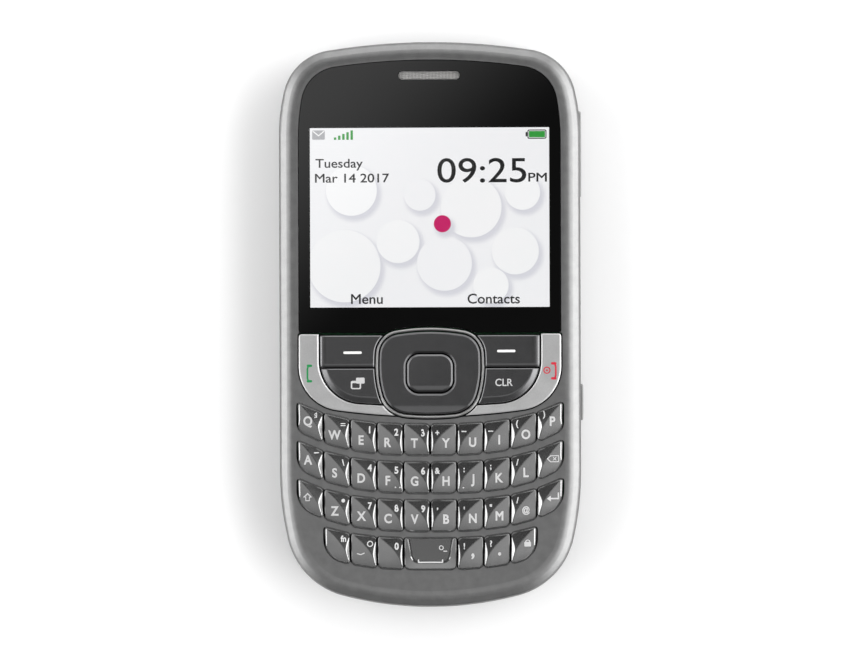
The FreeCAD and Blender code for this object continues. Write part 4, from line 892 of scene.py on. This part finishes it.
plan = area([outline(NAV_HALF, NAV_TOP, NAV_FOOT)], [outline(NAV_HALF, NAV_TOP, NAV_FOOT, TRIM_WIDTH)])
trim = shell(plan, trim_top, TRIM_FOOT, spacing=0.35, rings=(0.1, 0.2))
piece("trim_ring", [trim], nickel, replaced=["nav_trim"], slot="trim")


# Window print and lit screen

opening = oblong(SCREEN_CENTRE, SCREEN_SIZE[0] + 0.1, SCREEN_SIZE[1] + 0.1, 0.1)
ear_cut = oblong(EAR_CENTRE, EAR_SIZE[0] + 0.1, EAR_SIZE[1] + 0.1, EAR_ROUND)
plan = area(
    [outline(LENS_HALF, LENS_TOP, LENS_FOOT, 0.08)],
    [opening, ear_cut, outline(NAV_HALF, NAV_TOP, NAV_FOOT, -NAV_CLEARANCE)],
)
piece("window_print", [shell(plan, level(FACE + INK), FACE - INK)], window_ink, slot="window")


# Gives one dark line to about each 0.05 mm row of dots
ROW_SCALE = 314 / (2 * math.pi * 0.05)


def glowing(name, code):
    """A lit colour of the display, seen through fine rows of dots."""
    material = bpy.data.materials.new(name)
    tree = empty_tree(material)
    place = add(tree, "ShaderNodeTexCoord").outputs["Object"]
    rows = add(tree, "ShaderNodeTexWave", {"Vector": place, "Scale": ROW_SCALE}, bands_direction="Y")
    share = add(tree, "ShaderNodeMapRange", {0: rows.outputs[1], 3: 0.97, 4: 1.0})
    tint = add(tree, "ShaderNodeVectorMath", {0: linear(code)[:3], 3: share}, operation="SCALE")
    shader = add(tree, "ShaderNodeBsdfPrincipled", {
        "Base Color": linear("#050505"), "Roughness": 0.3, "Emission Color": tint, "Emission Strength": 1.0,
    })
    add(tree, "ShaderNodeOutputMaterial", (shader,))
    return material


# The wallpaper: pale discs that overlap like paper, each with a soft shade below and to its right.
# Each is its centre in mm on the screen, its radius and its colour.
PAPER_DISCS = [
    ((-17.5, 12.0), 7.4, "#fafafb"), ((-16.0, 27.5), 5.2, "#fdfdfe"), ((-6.5, 17.0), 4.4, "#fbfbfc"),
    ((3.0, 12.5), 5.6, "#f8f8fa"), ((8.5, 24.0), 6.2, "#fafafb"), ((17.5, 15.0), 4.8, "#fafafb"),
    ((-2.0, 26.5), 3.2, "#f8f8fa"), ((19.0, 27.0), 3.6, "#fbfbfc"), ((12.5, 8.0), 3.6, "#fbfbfc"),
    ((2.6, 20.6), 1.75, "#c81464"),
]
# A disc's shade: its shift, how much wider it is, how soft, and its colour
SHADE = ((0.55, -0.75), 0.35, 1.5, "#dcdce3")


def wallpaper():
    """The lit picture behind the words."""
    material = glowing("lit_wallpaper", "#fdfdfd")
    tree, shader, place = parts_of(material)
    share = next(node for node in tree.nodes if node.type == "MAP_RANGE").outputs[0]
    colour = linear("#f7f7f9")
    for centre, radius, code in PAPER_DISCS:
        for shift, edge, soft, tone in (SHADE, ((0.0, 0.0), 0.0, 0.06, code)):
            middle = ((centre[0] + shift[0]) * MM, (centre[1] + shift[1]) * MM, SCREEN * MM)
            away = add(tree, "ShaderNodeVectorMath", (place, middle), operation="DISTANCE").outputs["Value"]
            rim = radius + edge
            fade = (away, (rim + soft / 2) * MM, (rim - soft / 2) * MM)
            amount = add(tree, "ShaderNodeMapRange", fade, interpolation_type="SMOOTHSTEP")
            mixed = add(tree, "ShaderNodeMix", {0: amount, 6: colour, 7: linear(tone)}, data_type="RGBA")
            colour = mixed.outputs[2]
    tint = add(tree, "ShaderNodeVectorMath", {0: colour, 3: share}, operation="SCALE")
    tree.links.new(tint.outputs[0], shader.inputs["Emission Color"])
    return material


lit_paper = wallpaper()
lit_black = glowing("lit_black", "#101012")
lit_grey = glowing("lit_grey", "#b0b0b4")
lit_green = glowing("lit_green", "#2f9a3a")
lit_white = glowing("lit_white", "#fafafa")


# Words on the display: what they say, the middle, a capital's height, the weight and the width
WORDS = {
    "day": ("Tuesday", (-18.5, 32.75), 1.75, 0.012, 9.7),
    "date": ("Mar 14 2017", (-15.85, 30.0), 1.75, 0.012, 15.2),
    "time": ("09:25", (10.7, 31.5), 4.9, 0.002, 18.2),
    "half": ("PM", (22.1, 30.05), 1.75, 0.012, 3.8),
    "menu": ("Menu", (-12.9, 5.25), 1.95, 0.012, 6.5),
    "contacts": ("Contacts", (13.05, 5.25), 1.95, 0.012, 10.7),
}
CELL = (22.0, 38.85)
signal = [[oblong((-19.3 + 0.85 * i, 38.1 + 0.18 * i), 0.5, 0.5 + 0.36 * i, 0.05)] for i in range(5)]
cell_rim = [
    [oblong(CELL, 3.9, 1.9, 0.35), oblong(CELL, 3.5, 1.5, 0.2)], [oblong((19.85, 38.85), 0.35, 0.9, 0.1)],
]
for name, groups, material, lift in (
    ("picture", [[oblong(SCREEN_CENTRE, *SCREEN_SIZE, 0.05)]], lit_paper, 0),
    *((name, [word(*setting)], lit_black, INK) for name, setting in WORDS.items()),
    ("envelope", [[oblong((-22.7, 38.85), 2.6, 1.9, 0.2)]], lit_grey, INK),
    ("flap", strokes([(-23.8, 39.6), (-22.7, 38.7), (-21.6, 39.6)], 0.22), lit_white, 2 * INK),
    ("signal", signal, lit_green, INK),
    ("cell_rim", cell_rim, lit_black, INK),
    ("cell", [[oblong(CELL, 3.3, 1.3, 0.1)]], lit_green, INK),
):
    face = SCREEN + lift
    piece(f"screen_{name}", [shell(print_area(groups), level(face), face - 0.008)], material, slot="display")


# Earpiece: woven steel wires in a rim, made with nodes

# The mesh's sizes in metres: its length and width, the wires' spacing and radius, and the slot's round ends
WIRE_SIZES = {
    "Length": 0.0122, "Width": 0.0014, "Pitch": 0.00029, "Wire": 0.00007,
    "End centre": 0.0054, "End radius": 0.00073,
}
WIRE_SIDES = 6
LONG_STEPS, SHORT_STEPS = 60, 8


def build_wire_mesh():
    """A tree of crossed wires cut to the slot's shape."""
    tree = bpy.data.node_groups.new("crossed_wires", "GeometryNodeTree")
    for name, value in WIRE_SIZES.items():
        tree.interface.new_socket(name, in_out="INPUT", socket_type="NodeSocketFloat").default_value = value
    tree.interface.new_socket("Finish", in_out="INPUT", socket_type="NodeSocketMaterial")
    tree.interface.new_socket("Mesh", in_out="OUTPUT", socket_type="NodeSocketGeometry")
    given = add(tree, "NodeGroupInput").outputs
    long, wide, pitch = given["Length"], given["Width"], given["Pitch"]
    circle = {"Resolution": WIRE_SIDES, "Radius": given["Wire"]}
    profile = add(tree, "GeometryNodeCurvePrimitiveCircle", circle)
    joined = add(tree, "GeometryNodeJoinGeometry")
    for span, gap, axis, steps in ((long, wide, 0, LONG_STEPS), (wide, long, 1, SHORT_STEPS)):
        half = add(tree, "ShaderNodeMath", (span, 0.5), operation="MULTIPLY")
        less = add(tree, "ShaderNodeMath", (half, -1.0), operation="MULTIPLY")
        start = add(tree, "ShaderNodeCombineXYZ", {axis: less})
        end = add(tree, "ShaderNodeCombineXYZ", {axis: half})
        line = add(tree, "GeometryNodeCurvePrimitiveLine", {"Start": start, "End": end})
        fine = add(tree, "GeometryNodeResampleCurve", {"Curve": line, "Count": steps})
        tube = {"Curve": fine, "Profile Curve": profile, "Fill Caps": True}
        wire = add(tree, "GeometryNodeCurveToMesh", tube)
        gaps = add(tree, "ShaderNodeMath", (gap, pitch), operation="DIVIDE")
        count = add(tree, "ShaderNodeMath", (gaps, 1.0), operation="ADD")
        middle = add(tree, "ShaderNodeMath", (gap, -0.5), operation="MULTIPLY")
        first = add(tree, "ShaderNodeCombineXYZ", {1 - axis: middle})
        step = add(tree, "ShaderNodeCombineXYZ", {1 - axis: pitch})
        spots = add(tree, "GeometryNodeMeshLine", {"Count": count, "Start Location": first, "Offset": step})
        set_out = add(tree, "GeometryNodeInstanceOnPoints", {"Points": spots, "Instance": wire})
        tree.links.new(set_out.outputs[0], joined.inputs[0])
    solid = add(tree, "GeometryNodeRealizeInstances", (joined,))
    x, y, _ = add(tree, "ShaderNodeSeparateXYZ", (add(tree, "GeometryNodeInputPosition"),)).outputs
    reach = add(tree, "ShaderNodeMath", (x,), operation="ABSOLUTE")
    past = add(tree, "ShaderNodeMath", (reach, given["End centre"]), operation="SUBTRACT")
    round_end = add(tree, "ShaderNodeMath", (past, 0.0), operation="MAXIMUM")
    spot = add(tree, "ShaderNodeCombineXYZ", (round_end, y))
    far = add(tree, "ShaderNodeVectorMath", (spot,), operation="LENGTH").outputs["Value"]
    outside = add(tree, "ShaderNodeMath", (far, given["End radius"]), operation="GREATER_THAN")
    trimmed = add(tree, "GeometryNodeDeleteGeometry", (solid, outside))
    coated = add(tree, "GeometryNodeSetMaterial", {0: trimmed, "Material": given["Finish"]})
    add(tree, "NodeGroupOutput", (coated,))
    return tree


def from_nodes(name, tree, values, place):
    """A plain mesh from a tree with its inputs set, moved to its place in mm."""
    holder = bpy.data.objects.new(name, bpy.data.meshes.new(name))
    bpy.context.scene.collection.objects.link(holder)
    modifier = holder.modifiers.new("nodes", "NODES")
    modifier.node_group = tree
    for item in tree.interface.items_tree:
        if item.in_out == "INPUT" and item.name in values:
            modifier[item.identifier] = values[item.name]
    bpy.context.view_layer.update()
    mesh = bpy.data.meshes.new_from_object(holder.evaluated_get(bpy.context.evaluated_depsgraph_get()))
    holder.modifiers.remove(modifier)
    mesh.transform(Matrix.Translation(Vector(place) * MM))
    mesh.shade_smooth()
    mesh.name = name
    holder.data = mesh
    return holder


wires = from_nodes("ear_wires", build_wire_mesh(), {"Finish": steel_wire}, (*EAR_CENTRE, 11.6))
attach(wires, "housing")
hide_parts("earpiece_grille")
ear_rim = oblong(EAR_CENTRE, EAR_SIZE[0] - 0.1, EAR_SIZE[1] - 0.1, EAR_ROUND - 0.05)
ear_inner = oblong(EAR_CENTRE, EAR_SIZE[0] - 0.4, EAR_SIZE[1] - 0.4, EAR_ROUND - 0.2)
ear_frame = shell(area([ear_rim], [ear_inner]), bevelled(11.8, 0.07, 0.06), WINDOW_BACK, spacing=0.2)
piece("ear_frame", [ear_frame], steel_wire, slot="grille")
piece("ear_cloth", [shell(area([ear_inner]), level(11.2), WINDOW_BACK)], silicone, slot="grille")


# Camera: a bright ring and a domed lens on the back, over the dark glass

CAMERA_CENTRE = (0.0, 44.5)
GLASS_FACE = 0.12
lens_glass = finish("blue_coated_lens", "#15142a", "#0d0c1c", 0.04, 0.5, spread=0.01, IOR=1.7)


def ring_foot(points, edge):
    """A sloped step on both sides of the ring."""
    across = np.linalg.norm(points - CAMERA_CENTRE, axis=1)
    return GLASS_FACE - 0.09 * np.clip((0.35 - abs(across - 3.75)) / 0.12, 0, 1)


def lens_foot(points, edge):
    """A low dome that faces down."""
    across = np.linalg.norm(points - CAMERA_CENTRE, axis=1)
    return GLASS_FACE - 0.09 * (1 - (across / 1.6) ** 2)


for name, inner, outer, foot, material in (
    ("camera_ring", disc(CAMERA_CENTRE, 4.1), disc(CAMERA_CENTRE, 3.4), ring_foot, nickel),
    ("camera_lens", disc(CAMERA_CENTRE, 1.55), [], lens_foot, lens_glass),
):
    made = shell(area(inner, outer), level(GLASS_FACE + 0.03), foot, spacing=0.25)
    piece(name, [made], material, slot="camera")


# Side keys

# The right-hand wall, the side keys' height above the table and across, and how their axes are turned
WALL = 30.8
SIDE_LEVEL = 7.42
SIDE_HEIGHT = 2.2
SIDEWAYS = [2, 0, 1]


def side_key(name, y, length, proud, marks=None, rocks=False):
    """A crowned key in the right-hand wall, with its flange inside, and a foot that it rocks on."""
    def crown(points, edge):
        fall = 0.03 * ((points[:, 0] - y) / (length / 2)) ** 2
        return WALL + proud - fall - 0.22 * np.clip(1 - edge / 0.35, 0, 1) ** 2

    def along(run, radius):
        return area([oblong((y, SIDE_LEVEL), run, SIDE_HEIGHT, radius)])

    stem = shell(along(length, 0.5), crown, 28.6, spacing=0.2, rings=(0.2, 0.35))
    solids = [stem, shell(along(length + 1, 0.2), level(28.75), 28.2)]
    if rocks:
        solids.append(shell(along(0.8, 0.1), level(28.4), 27.55))
    piece(f"cap_{name}", solids, side_lacquer, name, [name], "side_keys", turn=SIDEWAYS)
    if marks:
        on = stem[2]
        plan = print_area(marks)
        raised = shell(plan, lambda p, edge: on(p) + 0.03, lambda p, edge: on(p) - 0.05, spacing=0.2)
        piece(f"marks_{name}", [raised], white_ink, name, slot="side_keys", turn=SIDEWAYS)


plus = [bar((40.7, 7.42), (41.9, 7.42), 0.25), bar((41.3, 6.82), (41.3, 8.02), 0.25)]
minus = bar((27.7, 7.42), (28.9, 7.42), 0.25)
side_key("volume_rocker", 34.8, 17.6, 0.25, [*plus, minus], rocks=True)
side_key("camera_key", -16.0, 7.4, 0.55)


# Finishes of the frame's own pieces

# The display's frame is stamped steel, and its glass is dark and glossy beside the lit picture.
display_metal = within(
    finish("stamped_steel", "#9a9a98", "#8c8c8a", 0.35, 0.2, relief=0.002, Metallic=1.0),
    (-25, 3, 8.9), (25, 40.8, 9.66), "#0b0b0d", Metallic=0.0, Roughness=0.06,
)
for node, material in (
    ("front_housing", housing_lacquer), ("rear_housing", matt_abs), ("battery_cover", soft_touch),
    ("display_window", clear_acrylic), ("display_module", display_metal), ("keypad_mat", silicone),
    ("circuit_board", board_mask), ("battery", battery_wrap), ("camera_module", camera_glass),
    ("loudspeaker", black_nylon), ("housing_screws", black_zinc),
):
    for slot in nodes[node].material_slots:
        slot.material = material


# Table, light and camera

table_paper = finish("matt_white_paper", "#d6d6d6", "#d3d3d3", 0.9, 1.5, IOR=1.45)
# The camera sees it as whiter paper, so that it lights the phone's sides no more than grey card does.
tree, shader, place = parts_of(table_paper)
camera_ray = add(tree, "ShaderNodeLightPath").outputs["Is Camera Ray"]
socket = shader.inputs["Base Color"]
tones = {0: camera_ray, 6: socket.links[0].from_socket, 7: linear("#f8f8f8")}
tree.links.new(add(tree, "ShaderNodeMix", tones, data_type="RGBA").outputs[2], socket)
TABLE_HALF = 6.0
TABLE_TOP = -0.0001
table_corners = [(x, y, TABLE_TOP) for x, y in block(-TABLE_HALF, -TABLE_HALF, TABLE_HALF, TABLE_HALF)]
floor_mesh = bpy.data.meshes.new("table")
floor_mesh.from_pydata(table_corners, [], [(0, 1, 2, 3)])
floor_mesh.materials.append(table_paper)
floor = bpy.data.objects.new("table", floor_mesh)
bpy.context.scene.collection.objects.link(floor)


# Smooth changes over the sky: where each starts and ends, in parts of a direction, and the light there
SIDE_SHIFT = 0.06
SIDE_BOXES = (0.43, 0.79, 0.2, 4.2)
TOP_BOX = (0.58, 0.93, 0.0, 2.9)
FADE = (0.22, 0.5, 0.2, 1.0)
CEILING = (0.79, 0.95, 0.0, -1.6)
SHEET = (0.042, 0.122, 0.08, 1.25)
OVERHEAD = (0.9877, 0.9945)
DARKEST, BRIGHTEST = 0.05, 4.4
BACKDROP = 0.93


def light_sky():
    """A studio seen as a sky: soft boxes at both sides and beyond the phone's top, a dim ceiling between."""
    world = bpy.data.worlds.new("studio")
    bpy.context.scene.world = world
    tree = empty_tree(world)
    toward = add(tree, "ShaderNodeTexCoord").outputs["Generated"]
    x, y, z = add(tree, "ShaderNodeSeparateXYZ", (toward,)).outputs
    path = add(tree, "ShaderNodeLightPath").outputs
    aside = add(tree, "ShaderNodeMath", (x, SIDE_SHIFT), operation="ADD")
    aside = add(tree, "ShaderNodeMath", (aside,), operation="ABSOLUTE")
    aslant = add(tree, "ShaderNodeMath", (y, x), operation="SUBTRACT")
    # The sheet hangs overhead, up and to the left, and the glossy window shows it as a gradient.
    sides, top, fade, steep, sheet, overhead = (
        add(tree, "ShaderNodeMapRange", (part, *change), interpolation_type="SMOOTHSTEP")
        for part, change in (
            (aside, SIDE_BOXES), (y, TOP_BOX), (z, FADE), (z, CEILING), (aslant, SHEET), (z, OVERHEAD),
        )
    )
    # The boxes hang clear of the table, so their light fades well above it, but matt surfaces get all of it.
    hung = add(tree, "ShaderNodeMath", (fade, path["Is Diffuse Ray"]), operation="MAXIMUM")
    boxes = add(tree, "ShaderNodeMath", (sides, top), operation="ADD")
    around = add(tree, "ShaderNodeMath", (boxes, hung), operation="MULTIPLY")
    ceiling = add(tree, "ShaderNodeMath", (y, steep, around), operation="MULTIPLY_ADD")
    general = add(tree, "ShaderNodeClamp", (ceiling, DARKEST, BRIGHTEST))
    sky = add(tree, "ShaderNodeMix", {0: overhead, 2: general, 3: sheet})
    # The camera itself sees a pale backdrop.
    seen = add(tree, "ShaderNodeMix", {0: path["Is Camera Ray"], 2: sky, 3: BACKDROP})
    light = add(tree, "ShaderNodeBackground", {"Strength": seen, "Color": linear("#ffffff")})
    add(tree, "ShaderNodeOutputWorld", (light,))


light_sky()

FOCAL = 150.0
CAMERA_PLACE = (0.0147, 0.0001, 0.743)
AIM = (0.00004, 0.0001, 0.012)
LEAN = 0.19
camera_data = bpy.data.cameras.new("camera")
camera_data.lens = FOCAL
camera_data.sensor_width = 36.0
camera_data.clip_start = 0.05
camera = bpy.data.objects.new("camera", camera_data)
sight = (Vector(AIM) - Vector(CAMERA_PLACE)).normalized()
across = sight.cross(Vector((math.sin(math.radians(LEAN)), math.cos(math.radians(LEAN)), 0.0))).normalized()
camera.rotation_euler = Matrix((across, across.cross(sight), -sight)).transposed().to_euler()
camera.location = CAMERA_PLACE
bpy.context.scene.collection.objects.link(camera)
bpy.context.scene.camera = camera
bpy.context.scene.view_settings.view_transform = "Standard"
